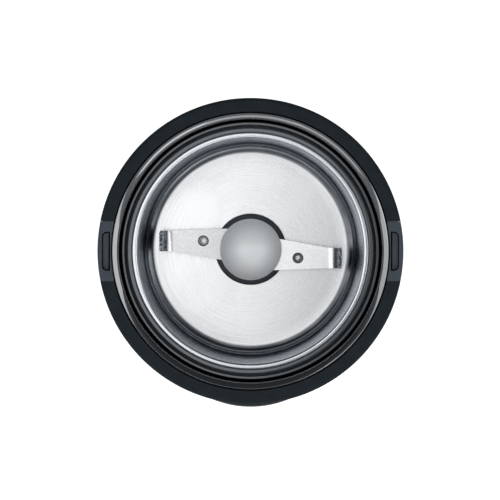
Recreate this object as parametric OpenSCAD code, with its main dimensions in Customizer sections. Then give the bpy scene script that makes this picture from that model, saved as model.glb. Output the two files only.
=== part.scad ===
// Electric spice grinder with a removable steel cup, lid off.
// The unit stands on the plane z = 0 and its axis is Z. The front, with the start button, faces -Y.

/* [Housing] */
// Outer radius of the collar, which sets all the radii of the housing, the well and the cup
collar_r = 54; // [52:0.25:58]
// Amount by which the housing widens towards its base
base_flare = 3; // [2:0.25:4]
// Height of the straight skirt at the foot of the housing
skirt_h = 22; // [18:1:26]
// Thickness of the housing's wall
wall = 2; // [1.8:0.1:2.2]
// Radius of the rounded bottom edge of the housing
edge_r = 6; // [5:0.5:8]
// Width of the flat lip inside that edge, round the base opening
foot_lip = 1; // [0.6:0.1:1.5]
// Height of the collar ring
collar_h = 16; // [14:0.5:18]
// Height of the collar's top above the rim of the steel bowl
collar_above_rim = 7; // [6:0.25:8]
// Radial width of the collar ring
collar_w = 4.9; // [4.4:0.1:5]
// Rounding of the collar's top outer edge
collar_round = 1.4; // [1:0.1:2]
// Width of a snap hook
hook_w = 8; // [6:0.5:9]
// Thickness of a snap hook
hook_t = 1.2; // [1:0.1:1.3]
// Length of a snap hook below the collar
hook_l = 9; // [8:0.5:10]
// Catch of a snap hook into the housing's groove
hook_catch = 0.6; // [0.4:0.1:0.8]
// Thickness of the ribs that carry the well and the screw bosses
rib_t = 1.8; // [1.4:0.1:2.4]
// Radius of the screw bosses in the base and of the posts under the well
boss_r = 4; // [3.6:0.1:4.4]
// Skin left above the core holes in those bosses
boss_skin = 0.7; // [0.5:0.1:1]
// Distance of the base screws in from the edge of the base plate
screw_inset = 7.6; // [7.4:0.1:9]
// Height of the webs under the switch shelves
shelf_web_h = 14; // [10:1:16]

/* [Base] */
// Height of the rubber foot ring below the base plate
foot_h = 3; // [2.5:0.1:4]
// Radial width of the rubber foot ring
foot_w = 3.7; // [3.4:0.1:4]
// Distance of the foot ring in from the edge of the base plate
foot_inset = 0.6; // [0.5:0.1:0.8]
// Depth of the foot ring's seat in the base plate
foot_seat = 1; // [0.6:0.1:1.4]
// Radius of the pegs that hold the foot ring
foot_peg_r = 1.3; // [1:0.1:1.5]
// Number of pegs on the foot ring
foot_pegs = 6; // [4:1:8]
// Thickness of the base plate
plate_t = 3; // [2.6:0.1:3.4]
// Width of the cooling slots in the base plate
vent_w = 2.6; // [2:0.1:3]
// Number of cooling slots in the inner ring of slots
vents = 24; // [16:2:28]
// Inner radius of the ring of cooling slots
vent_in_r = 14; // [13:0.5:16]
// Outer radius of the ring of cooling slots
vent_out_r = 30; // [26:0.5:32]

/* [Cord inlet] */
// Radius of the gland's bore
gland_bore_r = 3.5; // [3:0.1:4]
// Radius of the pilot holes for screws in plastic
screw_core_r = 1.3; // [1.1:0.05:1.4]
// Smallest wall of the gland's square neck
gland_wall = 2; // [1.6:0.1:2.4]
// Height of the gland above the base plate
gland_rise = 11; // [10:0.5:13]
// Width of the gland's flanges beyond its neck
gland_lip = 1.6; // [1.2:0.1:2]
// Thickness of the gland's outer flange
gland_lip_t = 2; // [1.6:0.1:2.6]
// Distance of the cord clamp in from the edge of the base plate
clamp_inset = 7.8; // [6.8:0.1:9]
// Half the distance between the cord clamp's screws
clamp_half = 8; // [7.5:0.25:9]

/* [Motor] */
// Air under the motor
motor_gap = 8; // [7:0.5:10]
// Thickness of the motor's brackets
bracket_t = 3; // [2.5:0.1:3.5]
// Radius of the motor shaft
shaft_r = 3.5; // [3:0.1:4]
// Radial running clearance of each shaft in its bush
run_gap = 0.05; // [0.03:0.01:0.08]
// Wall of the motor's bushes
bush_wall = 2.5; // [2:0.1:3]
// Length of the motor's bushes
bush_l = 7; // [6:0.25:8]
// Radius of the armature's iron core
armature_r = 14; // [13:0.25:14.5]
// Air gap between the armature and the stator
air_gap = 0.6; // [0.5:0.05:0.8]
// Length of the stator and of the armature
core_h = 26; // [24:0.5:28]
// Width of the stator along X
core_x = 58; // [56:0.5:60]
// Depth of the stator along Y
core_y = 50; // [49:0.5:52]
// Width of the stator's side limbs
limb_w = 7; // [6:0.25:7.5]
// Height of the gap between the stator's poles, at the sides of the armature
pole_gap = 12; // [10:0.5:14]
// Width of the windows beside the stator's poles
window_w = 6; // [5.5:0.1:6.5]
// Height by which the windings stand out of the cores
winding_over = 6; // [5:0.25:7]
// Radius of the commutator
comm_r = 9; // [8:0.25:9.5]
// Length of the commutator
comm_h = 11; // [10:0.5:13]
// Number of slots in the armature and twice the bars of the commutator
armature_slots = 12; // [10:2:14]
// Side of the square carbon brushes
brush_a = 5; // [4.5:0.25:5.5]
// Length of the carbon brushes
brush_l = 9; // [8:0.25:10]
// Wall of the brush holders
holder_wall = 1.8; // [1.4:0.1:2.2]
// Outer radius of the cooling fan
fan_r = 25; // [22:0.5:26]
// Height of the cooling fan
fan_h = 8; // [7:0.5:9]
// Number of the fan's vanes
fan_vanes = 11; // [7:1:13]
// Half the distance between the motor's long screws along X
long_x = 24; // [23.5:0.25:24.5]
// Half the distance between the motor's long screws along Y
long_y = 20; // [19.5:0.25:20.5]
// Radius of the motor's long screws
long_r = 1.8; // [1.5:0.1:2]
// Overhang of the heads and nuts of the long screws
long_head = 1.6; // [1.4:0.1:1.8]
// Height of the heads of the long screws
long_head_h = 2; // [1.6:0.1:2.4]
// Gap between the rubber mounts and the nuts of the long screws
mount_gap = 1; // [0.6:0.1:1.4]
// Outer radius of the motor's rubber mounts
grommet_r = 5; // [4.6:0.1:5.4]
// Thickness of each lip of the rubber mounts
grommet_lip = 1.5; // [1.2:0.1:1.8]
// Length by which those screws bite into the well's posts
mount_bite = 8; // [6:0.5:9]
// Radius of the screws through the rubber mounts
mount_screw_r = 1.2; // [1:0.05:1.25]

/* [Coupling] */
// Number of lobes on the drive coupling
lobes = 6; // [5:1:7]
// Radius of the driven dog's core
dog_core_r = 6; // [5.5:0.1:6.5]
// Radius of the driven dog over its lobes
dog_lobe_r = 10; // [9.5:0.1:10.5]
// Width of a lobe
lobe_w = 3; // [2.6:0.1:3.4]
// Depth to which the driven dog reaches into the drive dog
dog_depth = 7; // [6:0.25:8]
// Height of the drive dog above the motor's upper bracket
dog_rise = 3; // [2.5:0.25:4]
// Thickness of the drive dog's floor
dog_floor_t = 3; // [2.5:0.25:3.5]
// Height of the lead-in at the drive dog's mouth
dog_lip = 1; // [0.6:0.1:1.2]
// Clearance of the driven dog in the drive dog
dog_gap = 0.35; // [0.3:0.05:0.5]
// Wall of the drive dog outside the lobes
dog_wall = 2.65; // [2.2:0.05:3]

/* [Cup well] */
// Step from the collar's inner radius in to the well's
well_inset = 2.5; // [2.3:0.1:2.8]
// Thickness of the well's wall
well_wall = 1.8; // [1.5:0.05:1.9]
// Thickness of the well's floor
well_floor_t = 2; // [1.6:0.1:2.4]
// Radius of the hole in the well's floor
well_hole_r = 16; // [15:0.25:18]
// Gap between the collar and the flared mouth of the well
mouth_gap = 0.4; // [0.3:0.05:0.5]
// Height of the well's rounded mouth
mouth_h = 4; // [3.5:0.25:6]
// Number of keys that stop the cup turning in the well
keys = 4; // [3:1:6]
// Width of a key
key_w = 6; // [5:0.25:8]
// Height of a key
key_h = 9; // [7:0.5:10]
// Depth of a key
key_d = 2.2; // [2:0.1:2.4]

/* [Cup] */
// Clearance of the cup's sleeve in the well
cup_gap = 0.5; // [0.4:0.05:0.7]
// Wall of the cup's sleeve
sleeve_wall = 2; // [1.6:0.1:2.4]
// Thickness of the sleeve's floor
sleeve_floor_t = 2; // [1.6:0.1:2.4]
// Height of the bowl's underside above the sleeve's foot
bowl_stand = 15; // [14.5:0.25:17]
// Depth of the steel bowl from its rim
bowl_depth = 43; // [41:0.5:46]
// Open gap between the cup's two top lands
ridge_gap = 1.1; // [0.8:0.1:1.4]
// Draft of the bowl's wall
bowl_draft = 0.3; // [0.1:0.05:0.6]
// Rounding between the bowl's wall and its bottom
bowl_fillet = 4; // [3:0.25:6]
// Thickness of the bowl's sheet
sheet = 0.8; // [0.6:0.05:1]
// Width of the bowl's turned out rim
rim_w = 1.9; // [1.6:0.05:2]
// Width of the sleeve's inner land round the rim
land_w = 1.55; // [1.3:0.05:1.7]
// Depth of the groove between the sleeve's land and its outer ridge
groove_d = 3.2; // [2.4:0.1:4]
// Width of the sleeve's outer ridge
ridge_w = 1.05; // [0.9:0.05:1.2]
// Drop of the outer ridge below the rim
ridge_drop = 2.4; // [2:0.1:3]
// Radius of the cup bearing's flange
bearing_flange_r = 20; // [19:0.25:22]
// Thickness of the cup bearing's flange
bearing_flange_t = 2.6; // [2.2:0.1:3]
// Radius of the cup bearing's barrel
barrel_r = 8; // [7.5:0.1:8.5]
// Wall of the bush in the cup bearing
cup_bush_wall = 2.4; // [2:0.1:2.8]
// Distance of the cup bearing's screws from the axis
cup_screw_ring_r = 16; // [15.5:0.1:16.4]
// Number of the cup bearing's screws
cup_screw_count = 3; // [3:1:4]
// Thickness of the bowl's gasket
gasket_t = 0.8; // [0.6:0.1:1]
// Outer radius of the dark seal round the hub
hub_seal_r = 13.4; // [13:0.1:14]
// Height of that seal above the bowl's bottom
hub_seal_h = 2.4; // [2:0.1:2.8]

/* [Blade] */
// Radius of the blade's spindle
spindle_r = 3; // [2.8:0.1:3.4]
// Radius of the spindle's shoulder under the blade
shoulder_r = 9; // [8:0.25:10]
// Thickness of that shoulder
shoulder_t = 1.2; // [1:0.1:1.6]
// Thickness of the blade's steel
blade_t = 1.2; // [1:0.1:1.6]
// Distance from the blade's bends to the wall of the bowl
blade_gap = 10.9; // [9:0.1:12]
// Width of a wing at its root, across the hub
root_w = 12; // [10:0.5:13]
// Width of a wing at its bend
tip_w = 7.6; // [6.5:0.1:8.5]
// Sweep of a wing's middle line behind the axis at its bend
wing_sweep = 3.2; // [2.5:0.1:4]
// Length of the turned up tip
tip_l = 6; // [4.5:0.25:7]
// Angle of the turned up tip above the wing
tip_angle = 58; // [45:1:65]
// Radius of the hole in each wing
wing_hole_r = 1.9; // [1.5:0.1:2.2]
// Distance of that hole from the axis
wing_hole_x = 17.7; // [17:0.1:19]
// Radius of the domed cap on the hub
cap_r = 11.45; // [11:0.05:12]
// Height of the domed cap
cap_h = 10.6; // [10:0.1:12]
// Height of the cap's straight rim
cap_rim_h = 2; // [1.5:0.1:3]
// Wall of the domed cap
cap_wall = 1.8; // [1.5:0.1:2.2]
// Width across the flats of the nut on the spindle
nut_af = 10; // [9:0.5:11]
// Height of that nut
nut_h = 4; // [3.5:0.1:4.5]

/* [Lid interlock] */
// Width of the inserts at the collar's sides
insert_w = 21.2; // [20:0.2:24]
// Height of the inserts below the collar's top
insert_h = 12; // [10:0.5:13]
// Width of the pocket in an insert
pocket_w = 13.8; // [12:0.2:15]
// Radial size of that pocket
pocket_d = 2.9; // [2.7:0.05:2.9]
// Clearance of the pusher in its pocket and of the rod in its slots
slide_gap = 0.35; // [0.3:0.05:0.4]
// Depth of the pusher's face below the collar's top
pusher_drop = 2; // [1.5:0.25:3]
// Travel of the pushers
interlock_travel = 3.5; // [3:0.25:3.5]
// Width of the rod below the pusher
rod_w = 6; // [5:0.25:7]
// Thickness of the rod below the pusher
rod_t = 1.9; // [1.6:0.05:1.9]
// Thickness of the rod's foot over the switch
rod_foot_t = 2.6; // [2:0.1:3]
// Distance of the interlock switches in from the housing's inner wall
switch_inset = 11.6; // [11:0.1:12.4]
// Length of a switch
switch_l = 20; // [18:0.5:21]
// Width of a switch
switch_w = 6; // [5.5:0.1:6.5]
// Height of a switch
switch_h = 8; // [7.5:0.25:8.5]
// Size of the square button on a switch
plunger_a = 2.4; // [2:0.1:2.8]
// Outer radius of the return springs
spring_r = 2.2; // [2:0.05:2.3]
// Wire radius of the return springs
wire_r = 0.35; // [0.3:0.05:0.4]

/* [Start button] */
// Width of the start button
button_w = 35; // [32:0.5:36]
// Height of the start button
button_h = 22; // [20:0.5:23]
// Corner radius of the start button's outline
button_corner = 6; // [4:0.5:8]
// Depth of the button's middle below the collar's lower edge
button_drop = 19; // [17:0.5:20]
// Radius of the button's curved face
button_face_r = 37; // [36:0.25:37.5]
// Height of the button's face above the housing's wall
button_proud = 3.7; // [3.4:0.1:4.2]
// Crown of the button's face from its middle to its top and bottom
button_crown = 0.9; // [0.5:0.1:1.2]
// Travel of the start button
button_travel = 2; // [1.5:0.1:2]
// Clearance round the start button
button_gap = 0.35; // [0.3:0.05:0.5]
// Width of the raised frame round the button
frame_w = 2.4; // [2:0.1:3]
// Thickness of the button's front wall
button_wall = 2; // [1.6:0.1:2.4]
// Lip of the button behind its frame, above and below
button_lip = 1.2; // [1:0.1:1.4]
// Width of the leg from the button to its switch
leg_w = 9; // [7:0.5:11]
// Thickness of that leg
leg_t = 1.2; // [1:0.05:1.2]

/* [Circuit board] */
// Width of the circuit board
board_w = 40; // [36:1:42]
// Height of the circuit board
board_h = 34; // [30:1:36]
// Thickness of the circuit board
board_t = 1.6; // [1.2:0.1:2]
// Distance between the circuit board and the cord clamp
board_gap = 7; // [6:0.25:8]

/* [Hidden] */
$fn = 64;
// Smallest overlap of two solids that are joined in one piece
weld = 0.2;
// Clearance between fixed parts that slide together in assembly
fit = 0.2;
// Air kept between pieces that move past each other
air = 0.5;

// Heads of the small screws
screw_head_r = 2.6;
head_t = 1.6;
clamp_boss_r = 3.2;

// Levels from the table up to the motor's top
plate_z = foot_h;
plate_top = plate_z + plate_t;
low_bracket_z = plate_top + motor_gap;
comm_z = low_bracket_z + bracket_t + 3;
core_z = comm_z + comm_h + winding_over;
core_top = core_z + core_h;
fan_z = core_top + winding_over + 2;
top_bracket_z = fan_z + fan_h + 3;
top_bracket_top = top_bracket_z + bracket_t;
dog_z = top_bracket_top + dog_rise;
upper_bush_top = top_bracket_z + bush_l - 2;
dog_floor_z = dog_z + dog_floor_t;
dog_top = dog_floor_z + dog_depth + dog_lip;

// Levels from the well's floor up to the collar's top
well_z = dog_top + 2;
cup_z = well_z + well_floor_t;
bowl_z = cup_z + bowl_stand;
bowl_floor = bowl_z + sheet;
rim_z = bowl_z + bowl_depth;
total_h = rim_z + collar_above_rim;
collar_z = total_h - collar_h;
flange_z = collar_z - 2;

// Housing
base_r = collar_r + base_flare;
inner_top_r = collar_r - 0.4 - wall;
shell_top_r = collar_r - 0.4;
opening_r = base_r - edge_r - foot_lip;
plate_r = opening_r - fit;
base_screw_pcd_r = plate_r - screw_inset;
boss_h = motor_gap - long_head_h - air;
foot_out_r = plate_r - foot_inset;
foot_in_r = foot_out_r - foot_w;
clamp_y = plate_r - clamp_inset;
board_y = clamp_y - board_gap;
bush_r = shaft_r + run_gap + bush_wall;
button_z = collar_z - button_drop;
groove_z = collar_z - hook_l;
gland_z = plate_top + gland_rise;
gland_half = gland_bore_r + gland_wall;
pad_t = 0.6;
straight_z = plate_z + skirt_h;
button_reach = housing_r(button_z) + button_proud;
nose_r = button_face_r - 1.5;
nose_y = button_face_r - button_reach;

// Cup
collar_in_r = collar_r - collar_w;
well_r = collar_in_r - well_inset;
mouth_r = collar_in_r - mouth_gap;
mount_pitch = grommet_r + long_r + long_head + mount_gap;
long_spread = long_x - long_y;
mount_ring_r = (long_x + long_y + sqrt(2 * mount_pitch * mount_pitch - long_spread * long_spread)) / sqrt(2);
ridge_r = well_r - cup_gap - 0.2;
sleeve_r = ridge_r - 0.3;
land_r = ridge_r - ridge_w - ridge_gap;
rim_r = land_r - land_w - fit / 2;
bowl_r = rim_r - rim_w;
bend_x = bowl_r - blade_gap;
ridge_top = rim_z - ridge_drop;
bearing_top = bowl_z - gasket_t;
barrel_z = cup_z - 2;
cup_bush_r = spindle_r + run_gap + cup_bush_wall;
seal_top = bowl_floor + hub_seal_h;
shoulder_z = seal_top + 0.3;
blade_z = shoulder_z + shoulder_t;
cap_z = blade_z + blade_t;
driven_z = dog_floor_z + 0.6;
driven_top = barrel_z - 0.5;

// Interlock and start switch
shelf_t = 2;
shelf_z = top_bracket_z - shelf_t;
switch_ring_r = inner_top_r - switch_inset;
shelf_in_r = switch_ring_r - switch_w / 2 - 1;
shelf_w = switch_l + 4;
switch_top = shelf_z + shelf_t + switch_h;
rod_foot_z = switch_top + interlock_travel + air;
pocket_r = collar_in_r + 0.5;
rod_r = inner_top_r - rod_t - slide_gap - 0.15;
pusher_top = total_h - pusher_drop;
insert_z = total_h - insert_h;
rod_spring_r = rod_r - spring_r;
leg_out_y = housing_r(button_z - button_h / 2) - wall - air;
start_face_y = -(leg_out_y - leg_t - button_travel - air);

// Outer radius of the housing at a height
function housing_r(z) = base_r - (base_r - shell_top_r) * max(0, z - straight_z) / (collar_z - straight_z);

// A ring between two radii
module ring(r_out, r_in, h) {
    difference() {
        cylinder(r = r_out, h = h);
        translate([0, 0, -1]) cylinder(r = r_in, h = h + 2);
    }
}

// A sector of a ring, w wide, centred on the +X side
module ring_piece(r_out, r_in, w, h) {
    intersection() {
        ring(r_out, r_in, h);
        translate([0, -w / 2, -1]) cube([r_out + 1, w, h + 2]);
    }
}

// A flat shape with all its corners rounded, made of true arcs
module round_rect(x, y, r) {
    square([x - 2 * r, y], center = true);
    square([x, y - 2 * r], center = true);
    for (sx = [-1, 1], sy = [-1, 1]) {
        translate([sx * (x / 2 - r), sy * (y / 2 - r)]) circle(r = r);
    }
}

// A pan head screw that points up from z = 0, with a cross recess
module screw_up(r, l, head_r) {
    difference() {
        union() {
            translate([0, 0, -1.6]) cylinder(r = head_r, h = 1.6);
            translate([0, 0, -weld]) cylinder(r = r, h = l + weld);
        }
        for (a = [0, 90]) {
            rotate([0, 0, a]) translate([-head_r * 0.6, -0.3, -1.7]) cube([head_r * 1.2, 0.6, 0.9]);
        }
    }
}

// Copies of the children at the four corners of a rectangle
module corners(x, y) {
    for (sx = [-1, 1], sy = [-1, 1]) translate([sx * x, sy * y, 0]) children();
}

// n copies of the children round the axis, the first at an angle
module around(n, first = 0) {
    for (i = [0:n - 1]) rotate([0, 0, first + 360 * i / n]) children();
}

// The angles of the snap hooks, clear of the inserts at the sides and the button at the front
hook_angles = [for (a = [-30, 30, 75]) each [a, 180 - a]];
// The angles of the ribs that carry the well's flange, between the hooks
rib_angles = [for (a = [-45, 15, 52]) each [a, 180 - a]];
// The directions of the three switches
switch_sides = [0, 180, 270];

// Points of an arc about a centre, from one angle to another
function arc(cx, cy, r, from, to, n = 6) = [
    for (i = [0:n]) let (a = from + (to - from) * i / n) [cx + r * cos(a), cy + r * sin(a)]
];

module shell_outline() {
    polygon(concat(
        [[0, plate_z]],
        arc(base_r - edge_r, plate_z + edge_r, edge_r, -90, 0, 8),
        [[base_r, straight_z], [shell_top_r, collar_z], [0, collar_z]]
    ));
}

module shell_hollow() {
    polygon(concat(
        [[0, plate_z - 1], [opening_r, plate_z - 1], [opening_r, plate_z + wall]],
        arc(base_r - edge_r, plate_z + edge_r, edge_r - wall, -90, 0, 8),
        [[base_r - wall, straight_z], [inner_top_r, collar_z], [inner_top_r, collar_z + 1], [0, collar_z + 1]]
    ));
}

// The outline of the start button seen from the front, grown by a margin, as a bar along Y
module button_bar(grow) {
    translate([0, 0, button_z]) rotate([90, 0, 0])
        linear_extrude(height = base_r + 10)
            round_rect(button_w + 2 * grow, button_h + 2 * grow, button_corner + grow);
}

// The raised frame round the start button
module button_frame() {
    half = button_h / 2 + button_gap + frame_w;
    intersection() {
        translate([0, nose_y, button_z]) rotate_extrude() polygon(concat(
            [[0, -half]],
            arc(nose_r - 1.2, -half + 1.2, 1.2, -90, 0, 4),
            arc(nose_r - 1.2, half - 1.2, 1.2, 0, 90, 4),
            [[0, half]]
        ));
        button_bar(button_gap + frame_w);
        translate([-base_r, -base_r - 5, 0]) cube([2 * base_r, base_r + 5 - inner_top_r + 6, total_h]);
    }
}

module housing() {
    color("#17181a") difference() {
        union() {
            difference() {
                union() {
                    rotate_extrude() shell_outline();
                    button_frame();
                    // flat pad for the cord's gland
                    translate([0, base_r - wall, gland_z]) rotate([-90, 0, 0])
                        linear_extrude(height = wall + pad_t)
                            round_rect(2 * (gland_half + gland_lip + 1), 2 * (gland_half + gland_lip + 1), 3);
                }
                rotate_extrude() shell_hollow();
            }
            // ribs that carry the well's flange
            for (a = rib_angles) rotate([0, 0, a])
                translate([well_r + well_wall + air, -rib_t / 2, flange_z - 20])
                    cube([inner_top_r + wall / 2 - well_r - well_wall - air, rib_t, 20]);
            // screw bosses for the base plate, each with a web to the wall
            around(4, 45) {
                translate([base_screw_pcd_r, 0, plate_top]) cylinder(r = boss_r, h = boss_h);
                translate([base_screw_pcd_r, -rib_t / 2, plate_top])
                    cube([base_r - wall / 2 - base_screw_pcd_r, rib_t, boss_h]);
            }
            // shelves for the three switches, each on two webs
            for (a = switch_sides) rotate([0, 0, a]) {
                translate([0, 0, shelf_z])
                    ring_piece(housing_r(shelf_z) - wall / 2, shelf_in_r, shelf_w, shelf_t);
                for (s = [-1, 1]) translate([0, s * (shelf_w / 2 - rib_t / 2) + rib_t / 2, 0]) shelf_web();
            }
            // pins that centre the interlock springs
            for (a = [0, 180]) rotate([0, 0, a])
                translate([rod_spring_r, 0, shelf_z])
                    cylinder(r = spring_r - 2 * wire_r - 0.3, h = shelf_t + 3);
        }
        around(4, 45) translate([base_screw_pcd_r, 0, plate_top - 1])
            cylinder(r = screw_core_r, h = 1 + boss_h - boss_skin);
        // groove for the collar's snap hooks
        translate([0, 0, groove_z])
            ring(inner_top_r + hook_catch + 0.3, inner_top_r - 0.5, hook_catch * 3 + 0.8);
        // window for the start button, with room behind it for the button's lips
        button_bar(button_gap);
        intersection() {
            translate([0, nose_y, 0]) cylinder(r = nose_r - wall, h = total_h);
            button_bar(button_lip + 2 * button_gap);
        }
        translate([0, base_r - wall - 3, gland_z]) rotate([-90, 0, 0]) linear_extrude(height = wall + 8)
            round_rect(2 * gland_half + fit, 2 * gland_half + fit, 1.5);
    }
}

// A triangular web under a switch shelf
module shelf_web() {
    reach = housing_r(shelf_z) - wall / 2;
    rotate([90, 0, 0]) linear_extrude(height = rib_t)
        polygon([
            [shelf_in_r + 1, shelf_z + weld],
            [sqrt(reach * reach - shelf_w * shelf_w / 4), shelf_z + weld],
            [sqrt(reach * reach - shelf_w * shelf_w / 4), shelf_z - shelf_web_h],
            [shelf_in_r + 1, shelf_z - 2]
        ]);
}

// The section of the collar ring, rounded at its top outer edge
module collar_outline() {
    polygon(concat(
        [[collar_in_r, collar_z], [collar_r, collar_z]],
        arc(collar_r - collar_round, total_h - collar_round, collar_round, 0, 90, 6),
        [[collar_in_r + 0.4, total_h], [collar_in_r, total_h - 0.4]]
    ));
}

// The space of an insert in the collar, on the +X side, less a margin
module insert_space(less) {
    translate([collar_in_r - 1, -insert_w / 2 + less, insert_z + less])
        cube([collar_w + 3, insert_w - 2 * less, insert_h + 2]);
}

// The slot for an interlock rod on the +X side
module rod_slot(z, h) {
    translate([rod_r - slide_gap, -rod_w / 2 - slide_gap, z])
        cube([rod_t + 2 * slide_gap, rod_w + 2 * slide_gap, h]);
}

module collar() {
    color("#1d1e20") {
        difference() {
            rotate_extrude() collar_outline();
            for (a = [0, 180]) rotate([0, 0, a]) {
                insert_space(0);
                rod_slot(collar_z - 1, collar_h);
            }
        }
        for (a = hook_angles) rotate([0, 0, a]) snap_hook();
    }
}

// One snap hook, hanging from the collar's underside on the +X side
module snap_hook() {
    hook_r = inner_top_r - fit;
    translate([0, 0, collar_z - hook_l + fit])
        ring_piece(hook_r, hook_r - hook_t, hook_w, hook_l - fit + weld);
    intersection() {
        rotate_extrude() polygon([
            [hook_r - weld, groove_z + fit],
            [hook_r, groove_z + fit],
            [hook_r + hook_catch, groove_z + fit + hook_catch * 2],
            [hook_r + hook_catch, groove_z + fit + hook_catch * 3],
            [hook_r - weld, groove_z + fit + hook_catch * 3]
        ]);
        translate([0, -hook_w / 2, groove_z - 1]) cube([base_r, hook_w, 8]);
    }
}

module lock_insert() {
    color("#3f464d") difference() {
        intersection() {
            rotate_extrude() collar_outline();
            insert_space(0.05);
        }
        translate([pocket_r, -pocket_w / 2, insert_z - 1]) cube([pocket_d, pocket_w, insert_h + 2]);
    }
}

module lock_insert_right() {
    lock_insert();
}

module lock_insert_left() {
    rotate([0, 0, 180]) lock_insert();
}

module cup_well() {
    out_r = well_r + well_wall;
    // the mouth is rounded over from the wall to the collar's seam
    lip_r = mouth_r - well_r;
    color("#0e0f10") difference() {
        union() {
            difference() {
                rotate_extrude() polygon(concat(
                    [[well_hole_r, well_z], [out_r - 2, well_z]],
                    arc(out_r - 2, well_z + 2, 2, -90, 0, 4),
                    [[out_r, total_h - mouth_h], [mouth_r + 0.3, total_h - mouth_h + 1],
                     [mouth_r + 0.3, total_h - 0.8]],
                    arc(mouth_r, total_h - 0.5 - lip_r, lip_r, 90, 180, 5),
                    [[well_r, cup_z], [well_hole_r, cup_z]]
                ));
            }
            // flange clamped between the housing's ribs and the collar
            translate([0, 0, flange_z])
                ring(inner_top_r - fit, well_r + well_wall / 2, collar_z - flange_z);
            // keys in the well's foot
            around(keys, 45) translate([0, 0, cup_z - weld])
                ring_piece(well_r + weld, well_r - key_d, key_w, key_h + weld);
            // posts for the motor's rubber mounts
            around(4, 45) translate([mount_ring_r, 0, top_bracket_top + grommet_lip])
                cylinder(r = boss_r, h = well_z - top_bracket_top - grommet_lip + weld);
            // spigot that centres the start button's spring
            translate([0, -out_r + weld, button_z]) rotate([90, 0, 0])
                cylinder(r = spring_r - wire_r * 2 - 0.3, h = 1.2 + weld);
        }
        around(4, 45) translate([mount_ring_r, 0, top_bracket_top])
            cylinder(r = screw_core_r, h = grommet_lip + mount_bite + 1);
        for (a = [0, 180]) rotate([0, 0, a]) rod_slot(flange_z - 1, 4);
        for (a = hook_angles) rotate([0, 0, a])
            translate([inner_top_r - fit * 2 - hook_t, -hook_w / 2 - fit, flange_z - 1])
            cube([hook_t + 3, hook_w + 2 * fit, 4]);
    }
}

module base_plate() {
    color("#1b1c1e") difference() {
        union() {
            translate([0, 0, plate_z]) cylinder(r = plate_r, h = plate_t);
            // card guides for the circuit board
            for (s = [-1, 1]) translate([s * board_w / 2, board_y, plate_top - weld]) card_guide();
            // bosses under the cord clamp
            for (s = [-1, 1]) translate([s * clamp_half, clamp_y, plate_top - weld])
                cylinder(r = clamp_boss_r, h = gland_rise - gland_bore_r - 1 + weld);
        }
        // cooling slots
        around(vents) translate([vent_in_r, -vent_w / 2, plate_z - 1])
            cube([vent_out_r - vent_in_r, vent_w, plate_t + 2]);
        around(4, 45) translate([base_screw_pcd_r, 0, plate_z - 1]) {
            cylinder(r = screw_core_r + 0.4, h = plate_t + 2);
            cylinder(r = screw_head_r + fit, h = 1 + head_t + 0.2);
        }
        // seat and peg holes of the foot ring
        translate([0, 0, plate_z - 1]) ring(foot_out_r + fit / 2, foot_in_r - fit / 2, 1 + foot_seat);
        around(foot_pegs, 30) translate([foot_out_r - foot_w / 2, 0, plate_z])
            cylinder(r = foot_peg_r, h = plate_t + 1);
        for (s = [-1, 1]) translate([s * clamp_half, clamp_y, plate_z + 1])
            cylinder(r = screw_core_r, h = gland_rise + plate_t);
        // slots that take the circuit board's foot
        translate([-board_w / 2 - fit, board_y - board_t / 2 - fit / 2, plate_top - 1])
            cube([board_w + 2 * fit, board_t + fit, board_h * 0.6]);
    }
}

// A post with a slot for the edge of the circuit board
module card_guide() {
    translate([-2, -3, 0]) cube([4, 6, board_h * 0.5]);
}

module base_screws() {
    color("#8d9094") around(4, 45) translate([base_screw_pcd_r, 0, plate_z + head_t + 0.2])
        screw_up(screw_core_r, plate_t - head_t + boss_h - boss_skin - 0.5, screw_head_r);
}

module foot_ring() {
    round_r = 0.8;
    seat_z = foot_h + foot_seat;
    color("#111112") {
        rotate_extrude() polygon(concat(
            arc(foot_in_r + round_r, round_r, round_r, 180, 270, 4),
            arc(foot_out_r - round_r, round_r, round_r, -90, 0, 4),
            [[foot_out_r, seat_z], [foot_in_r, seat_z]]
        ));
        around(foot_pegs, 30) translate([foot_out_r - foot_w / 2, 0, 0]) {
            translate([0, 0, seat_z - weld]) cylinder(r = foot_peg_r, h = plate_top - seat_z + 2 * weld);
            translate([0, 0, plate_top]) cylinder(r = foot_peg_r + 0.5, h = 0.8);
        }
    }
}

module cord_gland() {
    seat_y = base_r + pad_t;
    inner_y = base_r - wall;
    neck = 2 * gland_half;
    flange = neck + 2 * gland_lip;
    color("#0f0f10") translate([0, 0, gland_z]) rotate([-90, 0, 0]) difference() {
        union() {
            translate([0, 0, inner_y - gland_lip_t])
                linear_extrude(height = seat_y - inner_y + 2 * gland_lip_t)
                round_rect(neck, neck, 1.4);
            translate([0, 0, seat_y]) linear_extrude(height = gland_lip_t) round_rect(flange, flange, 2.4);
            translate([0, 0, inner_y - gland_lip_t - 0.4]) linear_extrude(height = gland_lip_t)
                round_rect(flange, flange, 2.4);
        }
        translate([0, 0, inner_y - 10]) cylinder(r = gland_bore_r, h = 30);
    }
}

module cord_clamp() {
    bar_z = plate_top + gland_rise - gland_bore_r - 1;
    color("#2a2b2d") difference() {
        translate([0, clamp_y, bar_z]) linear_extrude(height = 3)
            round_rect(2 * clamp_half + 2 * clamp_boss_r, 2 * clamp_boss_r, clamp_boss_r - 0.1);
        for (s = [-1, 1]) translate([s * clamp_half, clamp_y, bar_z - 1]) cylinder(r = screw_core_r, h = 5);
        translate([0, clamp_y - 5, bar_z - gland_bore_r + 1.2]) rotate([-90, 0, 0])
            cylinder(r = gland_bore_r, h = 10);
    }
    color("#8d9094") for (s = [-1, 1]) translate([s * clamp_half, clamp_y, bar_z + 3]) mirror([0, 0, 1])
        screw_up(screw_core_r, gland_rise - 1, screw_head_r);
}

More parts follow.
